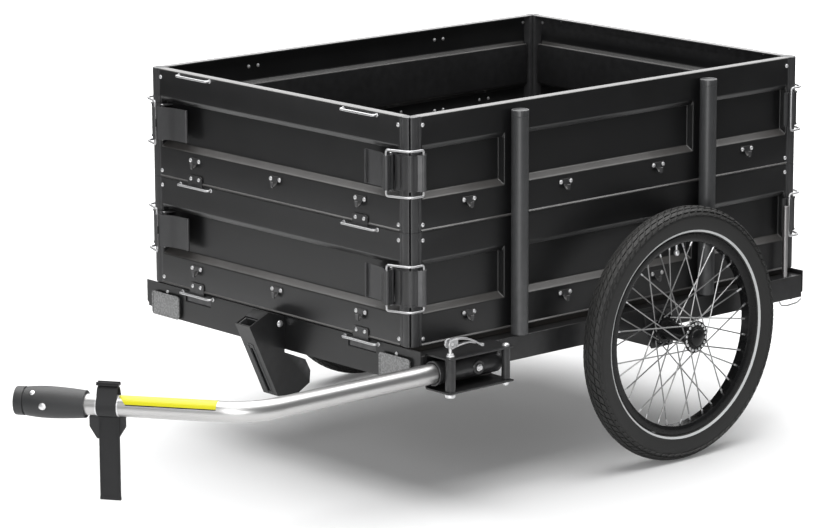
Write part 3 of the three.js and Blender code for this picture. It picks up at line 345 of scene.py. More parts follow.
    def wire(self, points: Line, radius: float, bend: float = 0.0,
             fineness: int = 3) -> Shape:
        """Adds a round wire along a line.

        Args:
            points: Corners of the line.
            radius: The wire's radius.
            bend: Length taken off each side of a corner.
            fineness: Resolution of its round section.

        Returns:
            This shape.
        """
        line = rounded(points, bend) if bend > 0 else [Vector(p) for p in points]
        curve = bpy.data.curves.new("line", "CURVE")
        curve.dimensions = "3D"
        curve.bevel_depth = radius
        curve.bevel_resolution = fineness
        curve.use_fill_caps = True
        spline = curve.splines.new("POLY")
        spline.points.add(len(line) - 1)
        for knot, place in zip(spline.points, line):
            knot.co = (*place, 1.0)
        holder = bpy.data.objects.new("line", curve)
        drawn = bpy.data.meshes.new_from_object(holder)
        part = Shape()
        part.mesh.from_mesh(drawn)
        bmesh.ops.remove_doubles(part.mesh, verts=part.mesh.verts, dist=WELD)
        self.add(part)
        bpy.data.objects.remove(holder)
        bpy.data.curves.remove(curve)
        bpy.data.meshes.remove(drawn)
        return self

    def band(self, line: Line, thick: float, low: float, high: float,
             axis: Axis = Axis.X, closed: bool = False) -> Shape:
        """Adds a strip of even thickness whose edge follows a line.

        Args:
            line: Pairs in the plane across the axis.
            thick: Thickness of the strip, laid to one side of the line.
            low: Where it starts along the axis.
            high: Where it ends.
            axis: The axis across the strip.
            closed: Whether the line joins its own start.

        Returns:
            This shape.
        """
        part = Shape()
        knots = [part.mesh.verts.new(axis.point(a, b, low)) for a, b, *_ in line]
        pairs = list(zip(knots, knots[1:])) + ([(knots[-1], knots[0])] if closed else [])
        part.drawn_out([part.mesh.edges.new(pair) for pair in pairs], axis.point(0, 0, high - low))
        bmesh.ops.recalc_face_normals(part.mesh, faces=part.mesh.faces)
        bmesh.ops.solidify(part.mesh, geom=part.mesh.faces[:], thickness=thick)
        return self.add(part)

    def softened(self, width: float, steps: int = 2, angle: float = 28.0) -> Shape:
        """Rounds every edge that is sharper than an angle.

        Args:
            width: Width of the rounding.
            steps: Number of faces across it.
            angle: Least angle in degrees.

        Returns:
            This shape.
        """
        self.mesh.normal_update()
        sharp = [
            edge for edge in self.mesh.edges
            if len(edge.link_faces) == 2 and edge.calc_face_angle(0.0) > math.radians(angle)
        ]
        bmesh.ops.bevel(
            self.mesh, geom=sharp, offset=width, offset_type="OFFSET", segments=steps, profile=0.5,
            affect="EDGES", clamp_overlap=True, material=-1,
        )
        return self

    def piece(self, name: str, body: str, slot: str, material: bpy.types.Material,
              replaces: Sequence[str]) -> None:
        """Makes the finished object in the frame's metres.

        Args:
            name: Name of the piece.
            body: Body that it rides on.
            slot: The record's material slot; not used.
            material: Its finish.
            replaces: Nodes of the frame that it stands for.
        """
        self.mesh.transform(TO_ROW)
        bmesh.ops.recalc_face_normals(self.mesh, faces=self.mesh.faces)
        data = bpy.data.meshes.new(name)
        self.mesh.to_mesh(data)
        self.mesh.free()
        data.polygons.foreach_set("use_smooth", [True] * len(data.polygons))
        data.set_sharp_from_angle(angle=math.radians(SMOOTH_ANGLE))
        data.materials.append(material)
        made = bpy.data.objects.new(name, data)
        made.modifiers.new("flat_faces", "WEIGHTED_NORMAL").keep_sharp = True
        bpy.context.scene.collection.objects.link(made)
        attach(made, body)
        if replaces:
            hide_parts(*replaces)
        log.info("%s: %d faces on %s", name, len(data.polygons), body)


class Texture(Enum):
    """The kind of surface of a finish: its group, the mask it colours by and the group's values."""

    POWDER = ("powder_skin", "Mottle", {})
    PLATED = ("powder_skin", "Mottle", {"Fine": 260.0, "Broad": 40.0})
    RUBBER = ("powder_skin", "Mottle", {"Fine": 1900.0, "Broad": 16.0})
    WOVEN = ("webbing_weave", "Mask", {})
    LENS = ("prism_cells", "Mask", {})
    BRUSHED = ("drawn_streaks", "Mask", {"Fine": 900.0})
    BOARD = ("drawn_streaks", "Mask", {"Fine": 260.0})


def feed(tree: Tree, node: bpy.types.Node, inputs: dict[int | str, object]) -> None:
    """Links or sets a node's inputs, each given as a socket or a value.

    Args:
        tree: Tree that holds the node.
        node: The node.
        inputs: Sockets or values by the input's name or number.
    """
    for label, value in inputs.items():
        if isinstance(value, bpy.types.NodeSocket):
            tree.links.new(value, node.inputs[label])
        else:
            node.inputs[label].default_value = value


def wired(tree: Tree, kind: str, inputs: dict[int | str, object] | None = None,
          **settings: object) -> bpy.types.Node:
    """Adds a node.

    Args:
        tree: Tree that it goes into.
        kind: Its type without the leading ShaderNode.
        inputs: Its inputs by name or place.
        settings: Its own settings.

    Returns:
        The node.
    """
    node = tree.nodes.new(f"ShaderNode{kind}")
    for label, value in settings.items():
        setattr(node, label, value)
    feed(tree, node, inputs or {})
    return node


def joined(tree: Tree, kind: str, first: object, second: object) -> Socket:
    """Joins two sockets or numbers by a kind of sum."""
    return wired(tree, "Math", {0: first, 1: second}, operation=kind).outputs[0]


def spread(tree: Tree, value: Socket, values: Pair, ends: Pair = (0.0, 1.0)) -> Socket:
    """Maps a value between two ends to two others, and holds it there."""
    return wired(tree, "MapRange", {"Value": value, "From Min": ends[0], "From Max": ends[1],
                                    "To Min": values[0], "To Max": values[1]}).outputs["Result"]


def blended(tree: Tree, mask: Socket, first: object, second: object) -> Socket:
    """Mixes two colours, each a socket or a plain colour."""
    colours = [(*colour, 1.0) if isinstance(colour, tuple) else colour for colour in (first, second)]
    return wired(tree, "Mix", {0: mask, 6: colours[0], 7: colours[1]}, data_type="RGBA").outputs[2]


class Effects:
    """Node groups that several finishes share, built once each."""

    def __init__(self) -> None:
        """Builds every group."""
        made = (self._powder(), self._dust_and_top_light(), self._wear_and_highlight(), self._weave(), self._streaks(), self._cells())
        self.groups = {tree.name: tree for tree in made}

    def place(self, tree: Tree, name: str, vector: Socket,
              values: dict[str, float]) -> bpy.types.NodeOutputs:
        """Places a shared group with a finish's own values, and gives its outputs."""
        return wired(tree, "Group", {"Vector": vector, **values}, node_tree=self.groups[name]).outputs

    @staticmethod
    def _group(name: str, inputs: dict[str, float], outputs: Sequence[str]) -> Tree:
        """Starts a group.

        Args:
            name: Name of the group.
            inputs: Value sockets with their defaults.
            outputs: Names of its value outputs.

        Returns:
            The group's tree with its ends placed.
        """
        tree = bpy.data.node_groups.new(name, "ShaderNodeTree")
        face = tree.interface
        face.new_socket("Vector", in_out="INPUT", socket_type="NodeSocketVector")
        for label, value in inputs.items():
            face.new_socket(label, in_out="INPUT", socket_type="NodeSocketFloat").default_value = value
        for label in outputs:
            face.new_socket(label, in_out="OUTPUT", socket_type="NodeSocketFloat")
        tree.nodes.new("NodeGroupInput").name = "in"
        tree.nodes.new("NodeGroupOutput").name = "out"
        return tree

    @staticmethod
    def _noise(tree: Tree, scale: object, detail: float) -> Socket:
        """Adds a noise over the group's vector and gives its value."""
        vector = tree.nodes["in"].outputs["Vector"]
        return wired(tree, "TexNoise", {"Vector": vector, "Scale": scale, "Detail": detail}).outputs["Fac"]

    def _powder(self) -> Tree:
        """Orange peel of a sprayed or moulded skin, with a broad mottling.

        Returns:
            The group's tree.
        """
        tree = self._group("powder_skin", {"Fine": 1100.0, "Broad": 9.0}, ("Height", "Mottle"))
        into = tree.nodes["in"].outputs
        fine = self._noise(tree, into["Fine"], 2.0)
        coarse = self._noise(tree, joined(tree, "MULTIPLY", into["Fine"], 0.31), 1.0)
        feed(tree, tree.nodes["out"], {"Height": joined(tree, "ADD", fine, coarse),
                                       "Mottle": self._noise(tree, into["Broad"], 4.0)})
        return tree

    def _masked(self, tree: Tree, first: Socket, second: Socket) -> Tree:
        """Ends a group whose mask is two masks and its amount multiplied.

        Args:
            tree: The group's tree.
            first: One mask.
            second: The other.

        Returns:
            The group's tree.
        """
        both = joined(tree, "MULTIPLY", first, second)
        amount = tree.nodes["in"].outputs["Amount"]
        feed(tree, tree.nodes["out"], {"Mask": joined(tree, "MULTIPLY", both, amount)})
        return tree

    def _dust_and_top_light(self) -> Tree:
        """Faint dusting on faces that look up, which also paints them lighter as if lit from above.

        Returns:
            The group's tree.
        """
        tree = self._group("road_dust_and_top_light", {"Amount": 0.5}, ("Mask",))
        split = wired(tree, "SeparateXYZ", {0: wired(tree, "NewGeometry").outputs["Normal"]})
        up = spread(tree, split.outputs["Z"], (0.0, 1.0), (0.3, 0.6))
        return self._masked(tree, up, spread(tree, self._noise(tree, 34.0, 5.0), (0.8, 1.0), (0.3, 0.7)))

    def _wear_and_highlight(self) -> Tree:
        """Thin rubbed line along outer edges, which also paints a highlight where those edges would catch
        the light.

        Returns:
            The group's tree.
        """
        tree = self._group("edge_wear_and_highlight", {"Amount": 0.5}, ("Mask",))
        edges = spread(tree, wired(tree, "NewGeometry").outputs["Pointiness"], (0.0, 1.0), (0.53, 0.64))
        return self._masked(tree, edges, self._noise(tree, 70.0, 5.0))

    def _weave(self) -> Tree:
        """Ribs and threads of flat webbing.

        Returns:
            The group's tree.
        """
        tree = self._group("webbing_weave", {"Ribs": 420.0, "Threads": 700.0}, ("Height", "Mask"))
        into = tree.nodes["in"].outputs
        ribs, threads = (
            wired(tree, "TexWave", {"Vector": into["Vector"], "Scale": into[label], "Distortion": 0.6},
                  bands_direction=direction).outputs["Fac"]
            for direction, label in (("Z", "Ribs"), ("X", "Threads"))
        )
        both = joined(tree, "MULTIPLY", ribs, threads)
        height = joined(tree, "ADD", both, joined(tree, "MULTIPLY", ribs, 0.5))
        feed(tree, tree.nodes["out"], {"Height": height, "Mask": both})
        return tree

    def _streaks(self) -> Tree:
        """Drawing marks that run along the metal, once its vector is squeezed along them.

        Returns:
            The group's tree.
        """
        tree = self._group("drawn_streaks", {"Fine": 900.0}, ("Height", "Mask"))
        scale = tree.nodes["in"].outputs["Fine"]
        fine = self._noise(tree, scale, 2.0)
        broad = self._noise(tree, joined(tree, "MULTIPLY", scale, 0.12), 3.0)
        feed(tree, tree.nodes["out"], {"Height": fine, "Mask": joined(tree, "MULTIPLY", fine, broad)})
        return tree

    def _cells(self) -> Tree:
        """Small corner prisms under a reflector's face.

        Returns:
            The group's tree.
        """
        tree = self._group("prism_cells", {"Scale": 330.0}, ("Height", "Mask"))
        into = tree.nodes["in"].outputs
        cells = wired(tree, "TexVoronoi", {"Vector": into["Vector"], "Scale": into["Scale"],
                                           "Randomness": 0.12}).outputs
        split = wired(tree, "SeparateColor", {0: cells["Color"]})
        feed(tree, tree.nodes["out"], {"Height": cells["Distance"], "Mask": split.outputs[0]})
        return tree


@dataclass(frozen=True)
class Finish:
    """One finish of the trailer.

    Attributes:
        name: Name of the material.
        slot: The record's slot.
        texture: Kind of surface.
        colour: Base colour, linear.
        second: Colour of its mottling, dust or threads.
        roughness: Lowest and highest roughness.
        metallic: How metallic it is.
        depth: Depth of its fine relief in millimetres.
        wear_and_highlight: Strength of the rubbed edges, which also serve as a painted edge highlight.
        dust_and_top_light: Strength of a dusting on upper faces, which also serves as painted top light.
        stretch: How the pattern is squeezed along X, Y and Z.
        coat: Weight of a clear coat.
        specular: Level of its mirror reflection.
    """

    name: str
    slot: str
    texture: Texture
    colour: Point
    second: Point
    roughness: Pair
    metallic: float = 0.0
    depth: float = 0.05
    # Rubbed edges and the dusting on upper faces are partly painted light: an edge highlight and a lighter
    # top.
    wear_and_highlight: float = 0.0
    dust_and_top_light: float = 0.0
    stretch: Point = (1.0, 1.0, 1.0)
    coat: float = 0.0
    specular: float = 0.5

    def build(self, effects: Effects) -> bpy.types.Material:
        """Builds the material's nodes.

        Args:
            effects: The shared groups.

        Returns:
            The material.
        """
        material = bpy.data.materials.new(self.name)
        material.use_nodes = True
        tree = material.node_tree
        place = wired(tree, "TexCoord").outputs["Object"]
        vector = wired(tree, "Mapping", {"Vector": place, "Scale": self.stretch}).outputs["Vector"]
        group, label, values = self.texture.value
        surface = effects.place(tree, group, vector, values)
        colour = blended(tree, surface[label], self.colour, self.second)
        # Lays rubbed edges, partly a painted edge highlight, and a dusting on upper faces, partly painted
        # top light, over the base colour.
        for amount, name, over in ((self.wear_and_highlight, "edge_wear_and_highlight", RUBBED_AND_HIGHLIGHT), (self.dust_and_top_light, "road_dust_and_top_light", DUST_AND_TOP_LIGHT)):
            if amount > 0:
                mask = effects.place(tree, name, vector, {"Amount": amount})["Mask"]
                colour = blended(tree, mask, colour, over)
        bump = wired(tree, "Bump", {"Height": surface["Height"], "Strength": 1.0,
                                    "Distance": self.depth * MILLIMETRE})
        feed(tree, tree.nodes["Principled BSDF"], {
            "Base Color": colour, "Roughness": spread(tree, surface[label], self.roughness),
            "Metallic": self.metallic, "Coat Weight": self.coat, "Coat Roughness": COAT_ROUGHNESS,
            "Specular IOR Level": self.specular, "Normal": bump.outputs["Normal"],
        })
        return material


class Finishes:
    """Every finish of the trailer, made once."""

    # Each plan's wear and dust amounts also set how much painted edge highlight and painted top light it
    # gets.
    PLANS: tuple[Finish, ...] = (
        Finish("panel_powder", "panel_black", Texture.POWDER, (0.004, 0.004, 0.0042),
               (0.008, 0.008, 0.0084), (0.26, 0.36), wear_and_highlight=0.35, dust_and_top_light=0.3, specular=0.6),
        Finish("post_coat", "panel_black", Texture.POWDER, (0.018, 0.018, 0.019), (0.030, 0.030, 0.031),
               (0.38, 0.48), depth=0.06, wear_and_highlight=0.3, dust_and_top_light=0.03, specular=0.7),
        Finish("chassis_powder", "rail_black", Texture.POWDER, (0.0035, 0.0035, 0.0037),
               (0.007, 0.007, 0.0073), (0.28, 0.38), depth=0.04, wear_and_highlight=0.3, dust_and_top_light=0.02),
        Finish("stake_coat", "stake_grey", Texture.POWDER, (0.024, 0.025, 0.026), (0.036, 0.037, 0.038),
               (0.36, 0.46), depth=0.06, wear_and_highlight=0.3, dust_and_top_light=0.06, specular=0.7),
        Finish("film_board", "floor", Texture.BOARD, (0.020, 0.018, 0.016), (0.033, 0.029, 0.026),
               (0.45, 0.6), depth=0.05, dust_and_top_light=0.08, stretch=(1.0, 0.06, 1.0)),
        Finish("plated_wire", "chrome_wire", Texture.PLATED, (0.62, 0.62, 0.62), (0.52, 0.52, 0.53),
               (0.42, 0.58), metallic=1.0, depth=0.01),
        Finish("spoke_steel", "bright_steel", Texture.PLATED, (0.46, 0.46, 0.46), (0.36, 0.36, 0.36),
               (0.34, 0.46), metallic=1.0, depth=0.01),
        Finish("zinc_bright", "bright_steel", Texture.PLATED, (0.84, 0.84, 0.84), (0.72, 0.72, 0.73),
               (0.38, 0.52), metallic=1.0, depth=0.01),
        Finish("drawn_tube", "bare_aluminium", Texture.BRUSHED, (0.57, 0.565, 0.56), (0.47, 0.465, 0.46),
               (0.34, 0.46), metallic=1.0, depth=0.015, stretch=(0.05, 0.05, 1.0)),
        Finish("drawn_sleeve", "bare_aluminium", Texture.BRUSHED, (0.48, 0.47, 0.47), (0.36, 0.35, 0.35),
               (0.3, 0.45), metallic=1.0, depth=0.008, stretch=(1.0, 1.0, 0.05)),
        Finish("tyre_rubber", "tyre", Texture.RUBBER, (0.013, 0.013, 0.013), (0.023, 0.023, 0.022),
               (0.5, 0.68), depth=0.08, dust_and_top_light=0.08, specular=0.4),
        Finish("rim_anodised", "rim_black", Texture.PLATED, (0.004, 0.004, 0.0045), (0.008, 0.008, 0.008),
               (0.22, 0.32), depth=0.01, specular=0.25),
        Finish("head_moulding", "head_rubber", Texture.POWDER, (0.017, 0.018, 0.019), (0.028, 0.029, 0.030),
               (0.42, 0.56), depth=0.08, dust_and_top_light=0.08),
        Finish("strap_webbing", "webbing", Texture.WOVEN, (0.018, 0.018, 0.019), (0.050, 0.051, 0.052),
               (0.7, 0.9), depth=0.35),
        Finish("pad_rubber", "pad_rubber", Texture.RUBBER, (0.014, 0.014, 0.015), (0.022, 0.022, 0.023),
               (0.5, 0.7), depth=0.08),
        Finish("clear_prisms", "clear_lens", Texture.LENS, (0.16, 0.161, 0.161), (0.22, 0.222, 0.222),
               (0.2, 0.34), metallic=0.2, depth=0.35, coat=0.2),
        Finish("red_prisms", "red_lens", Texture.LENS, (0.26, 0.006, 0.005), (0.50, 0.014, 0.010),
               (0.08, 0.2), depth=0.6, coat=0.6),
        Finish("yellow_film", "bare_aluminium", Texture.POWDER, (0.55, 0.51, 0.001), (0.59, 0.55, 0.0015),
               (0.3, 0.4), depth=0.01),
        Finish("reflex_band", "tyre", Texture.POWDER, (0.50, 0.51, 0.51), (0.60, 0.61, 0.61),
               (0.3, 0.45), depth=0.02),
    )

    def __init__(self) -> None:
        """Builds the groups and then each material."""
        effects = Effects()
        self.materials = {plan.name: plan.build(effects) for plan in self.PLANS}
        self.slots = {plan.name: plan.slot for plan in self.PLANS}

    def dress(self, shape: Shape, name: str, body: str, finish: str, *replaces: str,
              where: Matrix | None = None) -> None:
        """Makes a piece of a shape in one of the finishes.

        Args:
            shape: The shape, used up unless it is copied to a place.
            name: Name of the piece.
            body: Body that it rides on.
            finish: Name of its finish.
            replaces: Nodes of the frame that it stands for.
            where: Place that a copy of the shape is put in.
        """
        if where is not None:
            shape = Shape().add(shape, where)
        shape.piece(name, body, self.slots[finish], self.materials[finish], replaces)


@dataclass
class BoxSizes:
    """Sizes of the stacked box that several parts share, in millimetres."""

    width: float = 770.0
    length: float = 1030.0
    foot: float = 308.0
    level: float = 215.0
    gap: float = 0.3
    sheet: float = 2.0
    flange: float = 19.0
    latch_height: float = 111.0
    keeper_tall: float = 68.0
    tongue_place: float = 247.0

    @property
    def levels(self) -> dict[str, float]:
        """Height of each level's foot."""
        return {"lower": self.foot, "upper": self.foot + self.level}


@dataclass
class PressedPanels:
    """Both levels of pressed panels with their posts, hooks, tongues and bows."""

    box: BoxSizes
    band_top: float = 60.0
    band_slope: float = 15.0
    end_slope: float = 7.0
    recess_top: float = 160.0
    upper_slope: float = 11.0
    recess: float = 15.0
    field_margin: float = 4.0
    bend: float = 2.0
    step_deep: float = 5.0
    step_drop: float = 9.5
    post: float = 27.0
    post_round: float = 8.0
    post_swell: float = 16.0
    keeper_reach: float = 38.5
    keeper_proud: float = 2.8
    flute: float = 2.2
    hook_pitch: float = 247.0
    hook_level: float = 46.0
    bow_span: float = 95.0
    bow_below: float = 6.0
    bow_proud: float = 10.0
    bow_wire: float = 2.4
    strip: float = 44.0
    guide_levels: Pair = (37.0, 188.0)
    hem: float = 2.3
    stake_places: Pair = (-258.0, 242.0)
    outward: Point = (0.0, -1.0, 0.0)
    inward: Point = (0.0, 1.0, 0.0)
    rivet_levels: Pair = (12.5, 198.5)
    rivet_inboard: float = 31.5
    pin_inboard: float = 44.0
    pin_proud: float = 7.0
    pin_half: float = 36.0
    ear: float = 2.5
    ear_place: float = 32.6

    @property
    def tall(self) -> float:
        """Height of one panel."""
        return self.box.level - self.box.gap

    def pressing(self, length: float, strips: Spot) -> Shape:
        """Presses one sheet with recesses, their upper slope in two steps, and folded rims.

        It is drawn as seen from outside, with X along it.

        Args:
            length: Length between the box's outer corners.
            strips: Middles of the flat strips left between recesses.

        Returns:
            The sheet.
        """
        shape = Shape()
        work = shape.mesh
        end = length / 2 - self.post
        edge = end - self.field_margin
        cuts = [-edge, *[s + sign * self.strip / 2 for s in strips for sign in (-1, 1)], edge]
        spans = list(zip(cuts[::2], cuts[1::2]))
        corners = [(-end, 0), (end, 0), (end, self.tall), (-end, self.tall)]
        work.faces.new([work.verts.new((x, 0, z)) for x, z in corners])
        planes = [((0, 0, z), (0, 0, 1)) for z in (self.band_top, self.recess_top)]
        planes += [((x, 0, 0), (1, 0, 0)) for x in cuts]
        for place, normal in planes:
            shape.cut(place, normal)
        fields = []
        for face in work.faces:
            middle = face.calc_center_median()
            inside = any(a < middle.x < b for a, b in spans)
            if inside and self.band_top < middle.z < self.recess_top:
                fields.append(face)
        bmesh.ops.inset_individual(work, faces=fields, thickness=self.band_slope, depth=0.0)
        lift = self.band_slope - self.upper_slope
        halfway = (self.band_top + self.recess_top) / 2
        for face in fields:
            middle = face.calc_center_median()
            for corner in face.verts:
                corner.co.y = self.recess
                corner.co.x += math.copysign(self.band_slope - self.end_slope, corner.co.x - middle.x)
                if corner.co.z > halfway:
                    corner.co.z += lift
        shape.cut((0, self.step_deep, 0), (0, 1, 0))
        for corner in work.verts:
            if abs(corner.co.y - self.step_deep) < 0.01 and corner.co.z > halfway:
                corner.co.z = self.recess_top - self.step_drop
        for level in (0.0, self.tall):
            rim = [edge for edge in work.edges
                   if edge.is_boundary and all(abs(v.co.z - level) < 0.01 for v in edge.verts)]
            shape.drawn_out(rim, (0, self.box.flange, 0))
        bmesh.ops.recalc_face_normals(work, faces=work.faces)
        probe = min(work.faces, key=lambda f: f.calc_center_median().z + abs(f.normal.z) * 999)
        if probe.normal.y > 0:
            bmesh.ops.reverse_faces(work, faces=work.faces)
        shape.softened(self.bend, 3, 14.0)
        bmesh.ops.solidify(work, geom=work.faces[:], thickness=self.box.sheet)
        return shape

    def hem_lip(self, length: float) -> Shape:
        """Narrow lip turned out along the panel's foot.

        Args:
            length: Length between the box's outer corners.

        Returns:
            The lip.
        """
        end = length / 2 - self.post
        outline = [(0.3, 4.6), (-self.hem, 1.6), (-self.hem, 0.5), (0.3, 0.5)]
        return Shape().prism(outline, -end, end, Axis.X).softened(0.4, 2, 20)

    def corner_post(self, length: float) -> Shape:
        """Rounded upright at the sheet's far end, with its half of the fluted keeper.

        Args:
            length: Length between the box's outer corners.

        Returns:
            The post.
        """
        corner = length / 2
        lap = self.box.gap / 2 / math.sqrt(2)
        bow = arc((corner - 14.0, self.post_swell - 2.0), self.post_swell, -123, 71, 12)
        flange = self.box.flange
        outline = [(corner - self.post, 0.0), (corner - 24.0, 0.0), *bow, (corner - 6.2 - lap, 6.2 - lap),
                   (corner - flange - lap, flange - lap), (corner - self.post, flange)]
        shape = Shape().prism(outline, 0, self.tall).softened(0.7, 2)
        low = self.box.latch_height - self.box.keeper_tall / 2
        high = low + self.box.keeper_tall
        for foot, head, swell in ((low + 1.5, high - 1.5, 0.0), (low, low + 3.0, 1.3),
                                  (high - 3.0, high, 1.3)):
            shape.add(Shape().prism(self._keeper(corner, lap, swell), foot, head).softened(0.4, 2, 40))
        return shape

    def _keeper(self, corner: float, lap: float, swell: float) -> list[Pair]:
        """Outline of the fluted plate that wraps the corner.

        Args:
            corner: Place of the box's corner.
            lap: Half the gap, along each side.
            swell: How far it stands out more.

        Returns:
            Pairs round the plate.
        """
        start = corner - self.keeper_reach
        straight = corner - self.post_round - start
        wave = []
        steps = 20
        for i in range(steps + 1):
            ripple = 0.0 if swell else abs(math.sin(math.tau * i / steps))
            wave.append((start + straight * i / steps, -self.keeper_proud - self.flute * ripple - swell))
        reach = self.post_round + self.keeper_proud + swell
        bend = arc((corner - self.post_round, self.post_round), reach, -90, 45, 6)[1:]
        rim = bend[-1]
        return [(start, 0.0), *wave, *bend[:-1], (rim[0] - lap, rim[1] - lap),
                (corner - self.post_round + 3, self.post_round - 3), (corner - self.post_round, 0.3)]

    def bail_hook(self, length: float) -> Shape:
        """Rolled hook on a side panel's end that the latch wire drops behind.

        Args:
            length: Length between the box's outer corners.

        Returns:
            The hook.
        """
        corner = length / 2
        middle, deep = corner - 26.0, -9.0
        inner, outer = 2.9, 4.7
        low = self.box.latch_height - self.box.keeper_tall / 2
        high = low + self.box.keeper_tall
        seat = inner + 0.9 + deep
        stem = [(middle, seat), (middle + outer, seat), (middle + outer, 0.3), (middle, 0.3)]
        ramp = ((12.0, -2.0), (21.6, -10.7), (22.9, -5.2), (22.9, 0.3), (12.0, 0.3))
        shape = Shape()
        for outline in (curl((middle, deep), (outer, inner), -110, 310, 16), stem,
                        [(corner - x, y) for x, y in ramp]):
            shape.prism(outline, low, high)
        return shape.softened(0.35, 1, 50)

    def latch_ears(self, length: float) -> Shape:
        """Two ears on an end panel that carry the latch lever's pin.

        Args:
            length: Length between the box's outer corners.

        Returns:
            The ears.
        """
        middle, half = length / 2 - self.pin_inboard, 6.0
        top = -self.pin_proud - self.ear - 2.0
        outline = [(middle - half, self.recess + 1), *arc((middle, top + half), half, 180, 180, 10),
                   (middle + half, self.recess + 1)]
        shape = Shape()
        for low in (-self.ear_place - self.ear, self.ear_place):
            foot = self.box.latch_height + low
            shape.prism(outline, foot, foot + self.ear)
        return shape.softened(0.4, 2, 40)

    def tie_hook(self, place: float) -> Shape:
        """Riveted plate with a pointed tongue bent out and up.

        Args:
            place: Where it is along the panel.

        Returns:
            The hook.
        """
        level = self.hook_level
        shape = Shape().block((place - 16.5, -2.0, level - 5.5), (place + 16.5, 0.2, level + 5.5))
        shape.softened(1.0, 2)
        line = rounded([(-1.2, level - 2), (-3.5, level - 9), (-9.2, level - 15.5), (-9.6, level - 4)], 3.5)
        tongue = Shape().band(line, 2.0, place - 4.5, place + 4.5)
        for corner in tongue.mesh.verts:
            if corner.co.z < level - 9:
                narrow = 1 - 0.45 * min(1.0, (level - 9 - corner.co.z) / 7)
                corner.co.x = place + (corner.co.x - place) * narrow
        return shape.add(tongue.softened(0.4, 1, 40))

    def stack_tongue(self, place: float) -> Shape:
        """Plate that drops behind the bow of the level below.

        Args:
            place: Where it is along the panel.

        Returns:
            The tongue.
        """
        low, high, side, cut = -11.0, 17.0, 22.0, 4.0
        outline = [(-side, high - cut), (-side, low + cut), (-side + cut, low), (side - cut, low),
                   (side, low + cut), (side, high - cut), (side - cut, high), (-side + cut, high)]
        shape = Shape().prism([(place + x, z) for x, z in outline], -2.6, -0.6, Axis.Y)
        return shape.softened(0.5, 2, 40)

    def rivets(self, length: float, hooks: Spot, tongues: Spot,
               guides: Spot) -> Shape:
        """Makes the bright rivets of one panel, outside and inside.

        Args:
            length: Length between the box's outer corners.
            hooks: Places of the tie hooks.
            tongues: Places of the tongues.
            guides: Places of the uprights, where the panel bears on them.

        Returns:
            The heads and tails.
        """
        shape = Shape()
        back = self.box.sheet
        ends = length / 2 - self.rivet_inboard
        rows = (
            ([0.0], ends, self.rivet_levels, 0.0, (4.2, 2.6)),
            (hooks, 12.8, [self.hook_level], -2.0, (4.3, 3.0)),
            (tongues, 12.0, [9.5], -2.6, (4.0, 2.6)),
        )
        for places, shift, levels, front, head in rows:
            for x, level in ((p + s, z) for p in places for s in (-shift, shift) for z in levels):
                shape.dome((x, front, level), self.outward, *head)
                shape.dome((x, back, level), self.inward, 3.6, 2.2)
        for x, level in ((p + s, z) for p in guides for s in (-12.0, 12.0) for z in self.guide_levels):
            shape.dome((x, back, level), self.inward, 4.0, 2.6)
        return shape

    def bow(self, place: float, level: float, back: float) -> Shape:
        """Bright wire bow with upset ends.

        Args:
            place: Where it is along the panel.
            level: Its height.
            back: Where its legs start.

        Returns:
            The bow.
        """
        side = self.bow_span / 2
        front = -self.bow_proud
        left, right = place - side, place + side
        line = [(left, back, level), (left, front, level), (right, front, level), (right, back, level)]
        shape = Shape().wire(line, self.bow_wire, 7.0, 4)
        for foot in (left, right):
            shape.round_bar((foot, -1.6, level), (foot, 0.2, level), 4.2, 0.6, 20)
        return shape

    def placing(self, side: str, foot: float) -> Matrix:
        """Where a panel's own drawing goes in the box.

        Args:
            side: Side of the box.
            foot: Height of the panel's foot.

        Returns:
            The move.
        """
        turns = {"front": 0.0, "rear": math.pi, "left": QUARTER, "right": -QUARTER}
        places = {
            "front": (0, -self.box.length / 2), "rear": (0, self.box.length / 2),
            "left": (self.box.width / 2, 0), "right": (-self.box.width / 2, 0),
        }
        return at(*places[side], foot) @ Matrix.Rotation(turns[side], 4, "Z")

    def build(self, finishes: Finishes) -> None:
        """Makes all eight panels.

        Args:
            finishes: The finishes that dress the pieces.
        """
        pitch = self.hook_pitch
        side_hooks = [-1.5 * pitch, -pitch / 2, pitch / 2, 1.5 * pitch]
        end = (self.box.width, [], [-pitch, 0.0, pitch], [-self.box.tongue_place, self.box.tongue_place])
        plans = {
            "front": end, "rear": end,
            "left": (self.box.length, list(self.stake_places), side_hooks, []),
            "right": (self.box.length, [-p for p in reversed(self.stake_places)], side_hooks, []),
        }
        for side, (length, guides, hooks, tongues) in plans.items():
            metal = self.pressing(length, guides if side == "left" else []).add(self.hem_lip(length))
            corner = self.corner_post(length)
            corner.add(self.latch_ears(length) if tongues else self.bail_hook(length))
            posts = Shape().add(corner).add(corner, Matrix.Scale(-1, 4, (1, 0, 0)))
            for place in hooks:
                metal.add(self.tie_hook(place))
            for place in tongues:
                metal.add(self.stack_tongue(place))
            bright = self.rivets(length, hooks, tongues, guides)
            low, high = (self.box.latch_height + shift for shift in (-self.pin_half, self.pin_half))
            for x in (self.pin_inboard - length / 2, length / 2 - self.pin_inboard) if tongues else ():
                bright.round_bar((x, -self.pin_proud, low), (x, -self.pin_proud, high), 2.5, 0.5, 16)
            for level, foot in self.box.levels.items():
                where = self.placing(side, foot)
                body, name = f"{level}_level", f"{level}_{side}"
                finishes.dress(metal, f"{name}_pressing", body, "panel_powder", f"{name}_panel",
                               where=where)
                finishes.dress(posts, f"{name}_posts", body, "post_coat", where=where)
                finishes.dress(bright, f"{name}_rivets", body, "zinc_bright", where=where)
                if tongues:
                    bows = Shape()
                    for place in tongues:
                        bows.add(self.bow(place, self.tall - self.bow_below, 4.0), where)
                    finishes.dress(bows, f"{name}_bows", body, "plated_wire")


